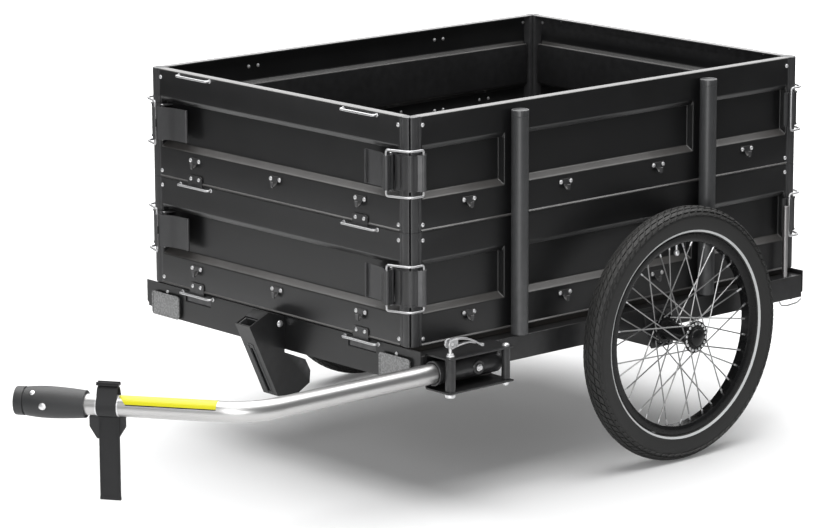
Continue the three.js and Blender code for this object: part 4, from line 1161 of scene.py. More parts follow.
@dataclass
class CornerLatches:
    """Eight over-centre latches, each a lever and a wire bail."""

    box: BoxSizes
    lever_inboard: float = 44.0
    lever_proud: float = 7.0
    bail_inboard: float = 40.0
    bail_proud: float = 22.0
    lever_tall: float = 64.0
    lever_end: float = 116.0
    wire: float = 2.3
    spread: float = 43.0
    inner_spread: float = 8.0
    corner_gap: float = 8.5
    hook_place: float = 26.0
    hook_proud: float = 9.0

    def lever(self) -> Shape:
        """Plate with a rolled end, a bail barrel and a pivot barrel, about the pivot.

        Returns:
            The lever.
        """
        tall = self.lever_tall / 2
        bail = (self.lever_inboard - self.bail_inboard, self.lever_proud - self.bail_proud)
        end = (self.lever_inboard - self.lever_end, self.lever_proud - 5.0)
        knee = (self.lever_inboard - 76.0, self.lever_proud - 5.5)
        face = rounded([(end[0], end[1] + 1.2), (knee[0] - 3, knee[1] - 1.2), (knee[0] + 5, knee[1] - 2.4),
                        (bail[0] - 5.6, bail[1] + 1.2)], 5.0)
        shape = Shape().band(face, 2.2, -tall, tall, Axis.Z)
        for barrel in (curl(end, (3.4, 1.6), 60, 240, 14), curl(bail, (5.5, 2.4), -150, 300, 20),
                       curl((0, 0), (5.0, 2.9), -60, 300, 20)):
            shape.prism(barrel, -tall, tall)
        lean = Vector(bail).normalized()
        side = Vector((-lean.y, lean.x))
        web = ((3.4, 4.2), (11.4, 4.6), (11.4, -1.4), (3.4, -1.4))
        shape.prism([lean * along + side * across for along, across in web], -tall, tall)
        return shape.softened(0.5, 2, 50)

    def bail(self) -> Shape:
        """Wire that runs round the corner to the hook, about its own pivot.

        Returns:
            The bail.
        """
        inboard, proud = self.bail_inboard, self.bail_proud
        plan = [(0.0, 0.0), (inboard, proud - self.corner_gap), (inboard + self.corner_gap, proud),
                (inboard + self.hook_proud, proud + self.hook_place)]
        upper, lower = (
            [(*plan[0], sign * self.inner_spread), *[(x, y, sign * self.spread) for x, y in plan]]
            for sign in (1, -1)
        )
        return Shape().wire([*upper, *reversed(lower)], self.wire, 5.0, 3)

    def build(self, finishes: Finishes) -> None:
        """Makes the latches of both levels.

        Args:
            finishes: The finishes that dress the pieces.
        """
        corners = {
            "front_left": (1, -1, Matrix.Identity(4)),
            "front_right": (-1, -1, Matrix.Rotation(math.pi, 4, "Y")),
            "rear_left": (1, 1, Matrix.Rotation(math.pi, 4, "X")),
            "rear_right": (-1, 1, Matrix.Rotation(math.pi, 4, "Z")),
        }
        for level, foot in self.box.levels.items():
            height = foot + self.box.latch_height
            for corner, (side, end, turn) in corners.items():
                parts = (
                    ("lever", "latch", self.lever_inboard, self.lever_proud, self.lever(), "post_coat"),
                    ("bail", "wire", self.bail_inboard, self.bail_proud, self.bail(), "plated_wire"),
                )
                for part, body, inboard, proud, shape, finish in parts:
                    x, y = side * (self.box.width / 2 - inboard), end * (self.box.length / 2 + proud)
                    name = f"{level}_{corner}"
                    finishes.dress(shape, f"{name}_{part}_dressed", f"{name}_{body}", finish,
                                   f"{name}_{part}", where=at(x, y, height) @ turn)


@dataclass
class Chassis:
    """Plates, rails, floor, reflectors, stakes and axle beam."""

    box: BoxSizes
    panels: PressedPanels
    half_width: float = 412.0
    plate: float = 3.0
    plate_top: float = 305.5
    plate_low: float = 240.0
    chamfer: Pair = (30.0, 22.0)
    slot_half: float = 39.0
    slot_low: float = 282.0
    slot_high: float = 293.0
    bolt_inboard: float = 67.0
    bolt_rise: float = 50.5
    lens: Pair = (80.0, 41.0)
    lens_inboard: float = 27.0
    lens_low: float = 244.0
    stake: float = 16.5
    stake_foot: float = 297.3
    stake_top: float = 725.0
    stake_plane: float = 403.8
    flag_place: float = 468.0
    flag_top: float = 442.3

    def end_plate(self) -> Shape:
        """One end plate with the two slots that the level's tongues drop into, closed from behind.

        Returns:
            The plate.
        """
        shape = Shape()
        work = shape.mesh
        side = self.half_width
        low, (across, up) = self.plate_low, self.chamfer
        half = [(side - across, low), (side, low + up), (side, self.plate_top)]
        outline = [*[(-x, z) for x, z in reversed(half)], *half]
        work.faces.new([work.verts.new((x, 0, z)) for x, z in outline])
        places = (-self.box.tongue_place, self.box.tongue_place)
        planes = [((0, 0, z), (0, 0, 1)) for z in (self.slot_low, self.slot_high)]
        planes += [((p + sign * self.slot_half, 0, 0), (1, 0, 0)) for p in places for sign in (-1, 1)]
        for place, normal in planes:
            shape.cut(place, normal)
        middles = [(face, face.calc_center_median()) for face in work.faces]
        gone = [face for face, middle in middles if self.slot_low < middle.z < self.slot_high
                and any(abs(middle.x - p) < self.slot_half for p in places)]
        bmesh.ops.delete(work, geom=gone, context="FACES")
        bmesh.ops.recalc_face_normals(work, faces=work.faces)
        bmesh.ops.solidify(work, geom=work.faces[:], thickness=self.plate)
        shape.softened(0.7, 2, 40)
        shape.moved(at(0, -min(v.co.y for v in work.verts), 0))
        reach = self.slot_half + 6
        for place in places:
            shape.block((place - reach, 2.8, self.slot_low - 8), (place + reach, 3.9, 298.0))
        return shape

    def plate_bolts(self) -> Shape:
        """Bright heads on one end plate.

        Returns:
            The bolts.
        """
        shape = Shape()
        for x in (self.bolt_inboard - self.half_width, self.half_width - self.bolt_inboard):
            shape.dome((x, 0.0, self.plate_low + self.bolt_rise), self.panels.outward, 4.2, 2.6)
        return shape

    def reflector(self) -> Shape:
        """Rounded lens with a raised rim, its face at the front.

        Returns:
            The reflector.
        """
        r, (wide, tall) = 4.0, self.lens
        corners = ((wide - r, r, -90), (wide - r, tall - r, 0), (r, tall - r, 90), (r, r, 180))
        outline = [p for x, z, start in corners for p in arc((x, z), r, start, 90, 5)]
        shape = Shape().prism(outline, -5.4, 0.0, Axis.Y).softened(0.8, 2, 50)
        return shape.band(outline, -3.2, -6.2, -5.0, Axis.Y, True)

    def stake_shape(self) -> Shape:
        """Round upright with a pressed cap.

        Returns:
            The upright.
        """
        foot, r, top = self.stake_foot, self.stake, self.stake_top
        profile = [(0, foot), (r - 2, foot), (r, foot + 1), (r, top - 12), (r - 0.5, top - 11.6),
                   (r, top - 11.2), (r, top - 2), (r - 0.8, top - 0.5), (r - 2.2, top), (0, top)]
        return Shape().turned(profile, 48)

    def stake_rim(self) -> Shape:
        """Rolled edge round an upright's cap.

        Returns:
            The rim.
        """
        r, top = self.stake, self.stake_top
        profile = [(r - 3.2, top - 0.6), (r - 3.0, top + 0.5), (r - 2.2, top + 0.9), (r - 0.8, top + 0.9),
                   (r + 0.1, top + 0.4), (r + 0.3, top - 1.8), (r - 0.3, top - 2.0)]
        return Shape().turned(profile, 48, True)

    def sleeve_clip(self) -> Shape:
        """Spring wire under the rail that holds the flag's sleeve."""
        line = [(405, 452, 252), (405, 458, 239.5), (405, 478, 237), (405, 506, 239), (405, 517, 246)]
        return Shape().wire(line, 1.6, 6.0, 3)

    def build(self, finishes: Finishes) -> None:
        """Makes every fixed piece of the chassis.

        Args:
            finishes: The finishes that dress the pieces.
        """
        front = -self.box.length / 2 + 1
        ends = {"front": at(0, front, 0), "rear": at(0, -front, 0) @ Matrix.Rotation(math.pi, 4, "Z")}
        for side, where in ends.items():
            finishes.dress(self.end_plate(), f"{side}_plate_pressed", "chassis", "chassis_powder",
                           f"{side}_plate", where=where)
            bows = Shape()
            for place in (-self.box.tongue_place, self.box.tongue_place):
                bows.add(self.panels.bow(place, self.plate_top - self.panels.bow_below, 5.0), where)
            finishes.dress(bows, f"{side}_plate_bows", "chassis", "plated_wire")
            finishes.dress(self.plate_bolts(), f"{side}_plate_bolts", "chassis", "zinc_bright", where=where)
            finish = "clear_prisms" if side == "front" else "red_prisms"
            outer = self.half_width - self.lens_inboard
            for hand, x in (("left", outer - self.lens[0]), ("right", -outer)):
                turned = "left" if (side == "front") == (hand == "left") else "right"
                finishes.dress(self.reflector(), f"{turned}_{side}_lens", "chassis", finish,
                               f"{turned}_{side}_reflector", where=where @ at(x, -0.3, self.lens_low))
        for node, name, width, steps, finish in (
                ("left_rail", "left_rail_folded", 1.6, 3, "chassis_powder"),
                ("right_rail", "right_rail_folded", 1.6, 3, "chassis_powder"),
                ("floor_sheet", "floor_board", 0.8, 2, "film_board"),
                ("axle_beam", "axle_beam_welded", 0.9, 2, "chassis_powder")):
            finishes.dress(Shape.of_node(node).softened(width, steps), name, "chassis", finish, node)
        for hand, x in (("left", self.stake_plane), ("right", -self.stake_plane)):
            for end, y in zip(("front", "rear"), self.panels.stake_places):
                name, where = f"{hand}_{end}", at(x, y, 0)
                finishes.dress(self.stake_shape(), f"{name}_upright", "chassis", "stake_coat",
                               f"{name}_stake", where=where)
                finishes.dress(self.stake_rim(), f"{name}_upright_rim", "chassis", "stake_coat",
                               where=where)
        finishes.dress(self.sleeve_clip(), "sleeve_clip", "chassis", "plated_wire")
        foot, top = self.stake_foot, self.flag_top
        profile = [(4.3, foot), (5.5, foot), (5.5, top - 0.3), (5.2, top), (4.3, top)]
        finishes.dress(Shape().turned(profile, 24, True), "flag_sleeve", "chassis", "drawn_sleeve",
                       "flag_tube", where=at(self.stake_plane, self.flag_place, 0))


@dataclass
class Wheels:
    """Two spoked 20 inch wheels with their stub axles."""

    plane: float = 465.0
    place: float = 110.0
    radius: float = 250.0
    shoulder: float = 224.0
    width: float = 47.0
    flange: float = 40.0
    spoke_circle: float = 26.0
    spoke: float = 1.35
    per_side: int = 18
    tread_rows: int = 84
    tread_skew: float = 1.4
    tread_deep: float = 2.2
    web: float = 3.0
    nipple_circle: float = 181.2
    valve_spot: Pair = (97.0, 413.0)

    def tyre(self) -> Shape:
        """Carcass with rows of small slanting tread blocks, about the Z axis.

        Returns:
            The tyre.
        """
        rise = self.radius - self.shoulder - self.tread_deep
        half = self.width / 2
        profile: list[Pair] = [(199.3, -14.0), (203.0, -16.6), (208.0, -19.8)]
        for i in range(25):
            x, z = polar(rise, half - 0.4, -78 + 156 * i / 24)
            profile.append((self.shoulder + x, z))
        profile += [(208.0, 19.8), (203.0, 16.6), (199.3, 14.0)]
        shape = Shape().turned(profile, 96, True)
        rows = ((0.0, 6.0, 0.80), (7.4, 7.4, 0.78), (-7.4, 7.4, 0.78), (14.8, 7.2, 0.74),
                (-14.8, 7.2, 0.74), (20.8, 4.6, 0.62), (-20.8, 4.6, 0.62))
        pitch = math.tau / self.tread_rows
        for height, wide, share in rows:
            shift = abs(height) * self.tread_skew / self.radius
            lean = math.asin(max(-1.0, min(1.0, height / (half + 0.6))))
            size = Vector((self.tread_deep, pitch * self.radius * share / 2, wide / 2))
            block = Shape().block(-size, size).softened(0.4, 1)
            work = block.mesh
            for corner in work.verts:
                corner.co.y += corner.co.z * math.copysign(self.tread_skew, height)
            seat = at(self.shoulder + rise * math.cos(lean), 0, height) @ Matrix.Rotation(-lean, 4, "Y")
            work.transform(Matrix.Rotation(shift, 4, "Z") @ seat)
            bmesh.ops.spin(work, geom=work.verts[:] + work.edges[:] + work.faces[:], cent=(0, 0, 0),
                           axis=(0, 0, 1), dvec=(0, 0, 0), angle=math.tau, steps=self.tread_rows,
                           use_merge=False, use_duplicate=True)
            bmesh.ops.remove_doubles(work, verts=work.verts, dist=0.05)
            shape.add(block)
        return shape

    def sidewall_band(self) -> Shape:
        """Bright reflex ring on each sidewall.

        Returns:
            The band.
        """
        ring = ((201.6, 15.4), (205.2, 17.9), (205.5, 18.8), (203.6, 17.7), (201.4, 16.4))
        shape = Shape()
        for sign in (-1, 1):
            shape.add(Shape().turned([(radius, sign * height) for radius, height in ring], 96, True))
        return shape

    def rim(self) -> Shape:
        """Box-section rim with flanges, its inside and outside each drawn by halves.

        Returns:
            The rim.
        """
        outer = [(198.2, -14.0), (197.2, -14.6), (189.0, -14.2), (183.4, -12.4), (181.5, -10.4),
                 (181.0, 0.0)]
        inner = [(196.6, 12.4), (190.6, 11.2), (188.4, 7.0), (187.6, 0.0)]
        profile = []
        for half in (outer, inner):
            profile += [*half, *[(radius, -height) for radius, height in reversed(half[:-1])]]
        return Shape().turned(profile, 96, True)

    def hub(self) -> Shape:
        """Hub shell with flanges and a domed cap on its outer side.

        Returns:
            The hub.
        """
        w = self.flange
        cap = [(x, w + 6.0 + z) for x, z in (polar(17.2, 7.0, t) for t in range(0, 90, 10))]
        profile = [(0, w + 9.0), (5.6, w + 8.6), (6.4, w + 7.8), (6.4, -w - 4.6), (12.0, -w - 4.6),
                   (14.0, -w - 3.6), (17.0, -w - 3.0), (30.5, -w - 3.0), (31.5, -w - 2.0), (31.5, -w - 1.0),
                   (30.5, -w), (20.0, -w + 2.0), (17.6, -w + 8.0), (16.6, 0.0), (17.6, w - 8.0),
                   (20.0, w - 2.0), (30.5, w), (31.5, w + 1.0), (31.5, w + 2.0), (30.5, w + 3.0),
                   (18.4, w + 3.0), (17.8, w + 3.6), (17.6, w + 5.4), *cap, (0, w + 13.0)]
        return Shape().turned(profile, 56)

    def spokes(self) -> tuple[Shape, Shape]:
        """Crossed spokes with elbows, and their nipples and heads.

        Returns:
            The spokes.
        """
        wires = Shape()
        nipples = Shape()
        step = math.tau / self.per_side
        for sign in (-1, 1):
            for i in range(self.per_side):
                foot = i * step + (0.0 if sign > 0 else step / 2)
                way = 1 if i % 2 == 0 else -1
                tip = foot + way * 3 * step
                seat = self.web / 2 + way * 2.4
                x, y = self.spoke_circle * math.cos(foot), self.spoke_circle * math.sin(foot)
                start = Vector((x, y, sign * (self.flange + seat)))
                hole = (x, y, sign * (self.flange + self.web - seat))
                reach = self.nipple_circle
                end = Vector((reach * math.cos(tip), reach * math.sin(tip), sign * 2.0))
                wires.wire([hole, start, end], self.spoke, 1.6, 1)
                run = (end - start).normalized()
                nipples.round_bar(end - run * 11, end + run * 1.5, 1.9, 0.5, 8)
                nipples.dome((x, y, sign * (self.flange + self.web)), (0, 0, sign), 2.9, 1.8)
        return wires, nipples

    def valve(self) -> Shape:
        """Valve stem with its nut and rounded cap, pointing to the hub.

        Returns:
            The valve.
        """
        along, up = self.valve_spot
        angle = math.atan2(along - self.place, self.radius - up)
        shape = Shape().round_bar((182, 0, 0), (160, 0, 0), 2.6, 0.5, 16)
        shape.round_bar((182, 0, 0), (178.5, 0, 0), 5.0, 0.6, 16)
        wide, half = 5.8, 6.4
        bulge = [(x, half + z) for x, z in (polar(wide, half, t) for t in range(-70, 71, 20))]
        cap = Shape().turned([(0, 0), *bulge, (0, 2 * half)], 24)
        shape.add(cap, at(168.0, 0, 0) @ facing((-1, 0, 0)))
        return shape.moved(Matrix.Rotation(angle, 4, "Z"))

    def stub(self) -> Shape:
        """Stub axle with its collar, seen along the outward axis.

        Returns:
            The stub axle.
        """
        profile = [(0, 412.6), (6, 412.6), (6, 416.6), (12, 416.6), (12, 419.0), (11.4, 419.6), (6, 419.6),
                   (6, 510.4), (5.2, 511.3), (0, 511.3)]
        return Shape().turned(profile, 32)

    def build(self, finishes: Finishes) -> None:
        """Makes both wheels; the drawn outer side is +Z turned to the outside.

        Args:
            finishes: The finishes that dress the pieces.
        """
        for hand, sign in (("left", 1), ("right", -1)):
            outward = Axis.X.turn() if sign > 0 else Matrix.Rotation(-QUARTER, 4, "Y")
            where = at(sign * self.plane, self.place, self.radius) @ outward
            spokes, nipples = self.spokes()
            for shape, name, finish, *nodes in (
                    (self.tyre(), "treaded_tyre", "tyre_rubber", "tyre"),
                    (self.sidewall_band(), "reflex_rings", "reflex_band"),
                    (self.rim(), "box_rim", "rim_anodised", "rim"),
                    (self.hub(), "hub_shell", "rim_anodised", "hub"),
                    (spokes, "spokes", "spoke_steel"),
                    (nipples, "nipples", "zinc_bright"),
                    (self.valve(), "valve", "zinc_bright")):
                finishes.dress(shape, f"{hand}_{name}", f"{hand}_wheel", finish,
                               *[f"{hand}_{node}" for node in nodes], where=where)
            finishes.dress(self.stub(), f"{hand}_stub_turned", "chassis", "zinc_bright",
                           f"{hand}_stub_axle", where=at(0, self.place, self.radius) @ outward)


@dataclass
class Drawbar:
    """Bent tube with its coupling head, strap and pad."""

    level: float = 268.0
    radius: float = 19.0
    wall: float = 2.5
    plane: float = 435.472
    corner: float = -931.0
    rear: float = -362.0
    bend: float = 110.0
    turn: float = math.radians(54.5)
    reach: float = 435.0
    socket: float = 20.0
    strap_along: float = 263.0
    film_along: float = 243.0
    film_length: float = 182.0

    @property
    def aim(self) -> Vector:
        """Direction of the front leg."""
        return Vector((-math.sin(self.turn), -math.cos(self.turn), 0))

    def spot(self, along: float) -> Vector:
        """Point on the front leg, from the corner of the bend."""
        return Vector((self.plane, self.corner, self.level)) + self.aim * along

    def tube(self) -> Shape:
        """Sweeps the tube's ring along its two legs and the bend.

        Returns:
            The tube.
        """
        shape = Shape()
        work = shape.mesh
        for radius in (self.radius, self.radius - self.wall):
            ring = bmesh.ops.create_circle(work, cap_ends=False, radius=radius, segments=48)
            stand = at(self.plane, self.rear, self.level) @ Matrix.Rotation(QUARTER, 4, "X")
            bmesh.ops.transform(work, matrix=stand, verts=ring["verts"])
        start = self.corner + self.bend * math.tan(self.turn / 2)
        grown = shape.drawn_out(work.edges[:], (0, start - self.rear, 0))
        tip = picked(grown, bmesh.types.BMVert)
        ends = set(tip)
        lines = [edge for edge in picked(grown, bmesh.types.BMEdge) if all(v in ends for v in edge.verts)]
        bent = bmesh.ops.spin(
            work, geom=tip + lines, cent=(self.plane - self.bend, start, self.level), axis=(0, 0, -1),
            dvec=(0, 0, 0), angle=self.turn, steps=24, use_duplicate=False)
        base = self.spot(self.bend * math.tan(self.turn / 2))
        end = self.spot(self.reach - self.socket)
        shape.drawn_out(picked(bent["geom_last"], bmesh.types.BMEdge), end - base)
        bmesh.ops.remove_doubles(work, verts=work.verts, dist=0.001)
        open_edges = [edge for edge in work.edges if edge.is_boundary]
        for forward in (False, True):
            mouth = [e for e in open_edges if (e.verts[0].co.y < -800) == forward]
            bmesh.ops.bridge_loops(work, edges=mouth)
        return shape

    def film(self, radii: Pair, start: float, sweep: float, steps: int) -> Shape:
        """Makes a film round part of the front leg, its front end cut on a slant.

        Args:
            radii: How far its inner and outer face lie from the tube.
            start: Its first angle in degrees.
            sweep: The angle that it covers.
            steps: Number of chords.

        Returns:
            The film in its place.
        """
        near, far = (self.radius + radius for radius in radii)
        shape = Shape().prism(curl((0, 0), (near, far), start, sweep, steps), 0.0, self.film_length)
        for corner in shape.mesh.verts:
            if corner.co.z < 1.0:
                lean = math.degrees(math.atan2(corner.co.y, corner.co.x)) % 360.0
                corner.co.z += max(0.0, lean - 100.0) * 0.26
        return shape.moved(self._along(self.film_along))

    def clamp_band(self) -> Shape:
        """Thin bright band round the tube under the strap.

        Returns:
            The band.
        """
        inner = self.radius + 0.03
        half = [(inner, -21.0), (19.6, -21.0), (19.75, -20.6)]
        profile = [*half, *[(radius, -height) for radius, height in reversed(half)]]
        return Shape().turned(profile, 48, True).moved(self._along(self.strap_along))

    def _along(self, distance: float) -> Matrix:
        """Frame on the front leg: Z back along the tube, Y up.

        Args:
            distance: Distance along the leg.

        Returns:
            The frame.
        """
        back, up = -self.aim, Vector((0, 0, 1))
        turn = Matrix((up.cross(back), up, back)).transposed().to_4x4()
        return at(*self.spot(distance)) @ turn

    def head(self) -> Shape:
        """Moulded sleeve over the tube's end, its socket towards the bicycle.

        Returns:
            The sleeve.
        """
        belly = [(26.2 + 2.6 * math.sin(QUARTER * i / 8), 20.5 + 37.5 * i / 8) for i in range(9)]
        taper = [(28.8 - 4.0 * (1 - math.cos(QUARTER * i / 10)), 58 + 73 * i / 10) for i in range(1, 10)]
        profile = [(12.0, 1.2), (12.8, 0.3), (13.6, 0), (24.0, 0), (25.4, 0.5), (26.0, 1.8), (26.2, 16.4),
                   (25.6, 17.0), (23.6, 17.4), (23.6, 20.0), (25.8, 20.3), *belly, *taper, (24.8, 130.4),
                   (24.2, 131.0), (19.6, 131.0), (19.6, 19.7), (12.0, 19.7)]
        shape = Shape().turned(profile, 64, True)
        collar = [(7.2, -4.0), (8.9, -4.0), (8.9, 0.4), (8.3, 0.9), (7.6, 0.8), (7.2, 0.3)]
        for lean in (183.0, 3.0):
            way = Vector(polar(1, 1, lean))
            shape.add(Shape().turned(collar, 28, True), at(*(way * 28.6), 57.0) @ facing((*way, 0)))
        return shape.moved(self._along(self.reach))

    def head_screws(self) -> Shape:
        """Screws through the head's side.

        Returns:
            The screws.
        """
        shape = Shape()
        for along, lean, out, radius in ((36.0, 132.5, 27.6, 4.9), (57.0, 183.0, 28.7, 7.0)):
            for turn in (0.0, 180.0):
                way = Vector(polar(1, 1, lean + turn))
                shape.dome((*(way * out), along), (*way, 0), radius, 2.0)
        return shape.moved(self._along(self.reach))

    def strap(self) -> Shape:
        """Webbing loop round the tube with a two-layer hanging tail.

        Returns:
            The strap.
        """
        inner = self.radius + 0.9
        crest = 26.0
        loop = [*arc((0, 0), inner, 158, 224, 30), *arc((0, crest), inner / 2, 22, 136, 12)]
        shape = Shape().band(loop, 2.3, -19.0, 19.0, Axis.X, True)
        for front in (-2.2, 0.3):
            shape.block((-19.0, front, -174.0 if front < 0 else -168.0), (19.0, front + 1.9, -inner - 1.5))
        shape.softened(0.5, 2, 40)
        shape.block((-20.8, -8.0, crest + 11.4), (20.8, 8.0, crest + 13.4))
        for y in (-6.5, 4.0):
            shape.add(Shape().block((-21, y, crest + 12.6), (21, y + 2.5, crest + 17.2)).softened(0.8, 2))
        shape.add(Shape().block((-19.4, -2.9, -173.6), (19.4, 2.9, -168.0)).softened(0.6, 2))
        return shape.moved(self._strap_frame())

    def _strap_frame(self) -> Matrix:
        """Frame at the strap: X along the tube, Z up.

        Returns:
            The frame.
        """
        back, up = -self.aim, Vector((0, 0, 1))
        turn = Matrix((back, up.cross(back), up)).transposed().to_4x4()
        return at(*self.spot(self.strap_along)) @ turn

    def stitches(self) -> Shape:
        """Rows of box stitching on the strap's tail.

        Returns:
            The stitches.
        """
        shape = Shape()
        for column in (-15.5, 15.5):
            for i in range(30):
                low = -30.0 - i * 4.4
                for face in (-2.35, 2.35):
                    shape.block((column - 0.45, face - 0.25, low - 2.8), (column + 0.45, face + 0.25, low))
        return shape.moved(self._strap_frame())

    def build(self, finishes: Finishes) -> None:
        """Makes every piece of the drawbar.

        Args:
            finishes: The finishes that dress the pieces.
        """
        for shape, name, finish, *nodes in (
                (self.tube(), "bent_tube", "drawn_tube", "drawbar_tube"),
                (self.film((0.15, 0.5), 30, 126, 24), "tube_film", "yellow_film"),
                (self.film((0.12, 0.45), 156.2, 5, 4), "tube_film_border", "rim_anodised"),
                (self.clamp_band(), "strap_band", "zinc_bright"),
                (self.head(), "head_sleeve", "head_moulding", "coupling_head"),
                (self.head_screws(), "head_screws", "zinc_bright"),
                (self.strap(), "webbing_strap", "strap_webbing", "strap"),
                (self.stitches(), "strap_stitches", "strap_webbing"),
                (Shape.of_node("strap_pad").softened(2.0, 3), "strap_block", "pad_rubber", "strap_pad")):
            finishes.dress(shape, name, "drawbar", finish, *nodes)


@dataclass
class DrawbarSocket:
    """Folded bracket with receiver tube, spacers, quick release and plunger."""

    level: float = 268.0
    inner: float = 412.3
    outer: float = 477.674
    plane: float = 435.472
    spacer_plane: float = 466.174
    front: float = -503.0
    rear: float = -341.0
    low: float = 234.0
    high: float = 302.0
    clamp_place: float = -489.0
    plunger_place: float = -410.0
    bolt_place: float = -351.0

    def bracket(self) -> Shape:
        """Channel folded from plate, with the receiver tube and front spacer welded in.

        Returns:
            The bracket.
        """
        line = rounded([(self.outer, self.low), (self.inner, self.low), (self.inner, self.high),
                        (self.outer, self.high)], 5.0)
        shape = Shape().band(line, 3.6, self.front, self.rear, Axis.Y)
        if min(v.co.x for v in shape.mesh.verts) < self.inner - 0.1:
            shape = Shape().band(line[::-1], 3.6, self.front, self.rear, Axis.Y)
        shape.softened(0.6, 2, 50)
        mouth = at(self.plane, self.front - 3.0, self.level) @ facing((0, 1, 0))
        button = at(self.plane, self.plunger_place, self.level) @ Axis.X.turn()
        tube = [(19.4, 0), (20.6, 0), (21.0, 0.5), (21.0, 154.5), (20.5, 155.0), (19.4, 155.0)]
        boss = [(8.2, 17.0), (13.6, 17.0), (13.6, 21.6), (12.8, 22.4), (8.8, 22.4), (8.2, 21.8)]
        spacer = sleeve(3.4, 10.0, self.low + 3.0, self.high - 3.0, 0.4)
        for profile, steps, where in ((tube, 48, mouth), (sleeve(19.4, 23.2, 0, 7.0, 0.6), 48, mouth),
                                      (boss, 36, button),
                                      (spacer, 32, at(self.spacer_plane, self.clamp_place, 0))):
            shape.add(Shape().turned(profile, steps, True), where)
        return shape

    def spacer_bolt(self) -> Shape:
        """Rear spacer with its domed bolt and nut.

        Returns:
            The spacer with its bolt.
        """
        x, y = self.spacer_plane, self.bolt_place
        shape = Shape().round_bar((x, y, self.low - 8.0), (x, y, self.high + 2), 4.0, 0.6, 24)
        shape.dome((x, y, self.high + 0.6), (0, 0, 1), 7.5, 4.6)
        return shape.hex_head((x, y, self.low - 5.3), (x, y, self.low - 0.3), 15.0)

    def rear_spacer(self) -> Shape:
        """Black sleeve round the rear bolt."""
        profile = sleeve(4.2, 8.0, self.low + 4.3, self.high - 4.3, 0.5)
        return Shape().add(Shape().turned(profile, 32, True), at(self.spacer_plane, self.bolt_place, 0))

    def skewer(self) -> Shape:
        """Clamp rod with its nut, washer and cross pin.

        Returns:
            The rod.
        """
        x, y = self.spacer_plane, self.clamp_place
        shape = Shape().round_bar((x, y, self.low - 6.0), (x, y, self.high + 24), 3.0, 0.4, 24)
        shape.round_bar((x, y, self.low - 8.3), (x, y, self.low - 0.3), 10.0, 1.6, 40)
        shape.round_bar((x, y, self.high + 0.3), (x, y, self.high + 3.4), 8.0, 0.5, 40)
        shape.round_bar((x, y, self.high + 3.4), (x, y, self.high + 7.3), 6.4, 0.6, 40)
        return shape.round_bar((x - 7.5, y, self.high + 25), (x + 7.5, y, self.high + 25), 3.0, 0.4, 20)

    def cam(self) -> Shape:
        """Cam with two cheeks and a drooping handle, about its pin along X.

        Returns:
            The cam.
        """
        shape = Shape()
        for near, far in ((-7.5, -3.5), (3.5, 7.5)):
            shape.add(Shape().turned(sleeve(3.7, 9.0, near, far, 0.6), 36, True), Axis.X.turn())
        shape.add(Shape().block((-7.5, 6.6, -2.4), (7.5, 13.6, 8.4)).softened(1.6, 3))
        upper = rounded([(2.0, 8.6), (20.0, 9.8), (42.0, 5.4), (62.0, -3.6), (79.0, -14.0)], 9.0)
        lower = rounded([(7.0, -5.4), (24.0, -2.4), (44.0, -1.2), (60.0, -5.2)], 7.0)
        for line, thick in ((upper, 3.8), (lower, 3.2)):
            shape.add(Shape().band(line, thick, -4.6, 4.6).softened(1.2, 3, 40))
        shape.add(Shape().block((-5.4, 72.0, -16.0), (5.4, 80.0, -10.6)).softened(1.6, 3))
        return shape.moved(at(self.spacer_plane, self.clamp_place, self.high + 25))

    def plunger(self) -> Shape:
        """Spring button in the receiver's outer side.

        Returns:
            The button.
        """
        profile = [(0, 19.8), (3.4, 19.8), (4.0, 20.4), (4.0, 22.0), (6.6, 22.0), (7.0, 22.5), (6.9, 23.8),
                   (5.4, 24.2), (5.2, 26.4), (4.4, 27.0), (0, 27.2)]
        where = at(self.plane, self.plunger_place, self.level) @ Axis.X.turn()
        return Shape().turned(profile, 32).moved(where)

    def build(self, finishes: Finishes) -> None:
        """Makes every piece at the drawbar's socket.

        Args:
            finishes: The finishes that dress the pieces.
        """
        for shape, name, body, finish, *nodes in (
                (self.bracket(), "folded_bracket", "chassis", "chassis_powder", "socket_bracket"),
                (self.spacer_bolt(), "rear_bolt", "chassis", "zinc_bright", "spacer_bolt"),
                (self.rear_spacer(), "rear_spacer", "chassis", "chassis_powder"),
                (self.skewer(), "clamp_rod", "chassis", "zinc_bright", "clamp_skewer"),
                (self.cam(), "release_handle", "quick_release", "plated_wire", "cam_lever"),
                (self.plunger(), "spring_button", "plunger", "zinc_bright", "locking_plunger")):
            finishes.dress(shape, name, body, finish, *nodes)


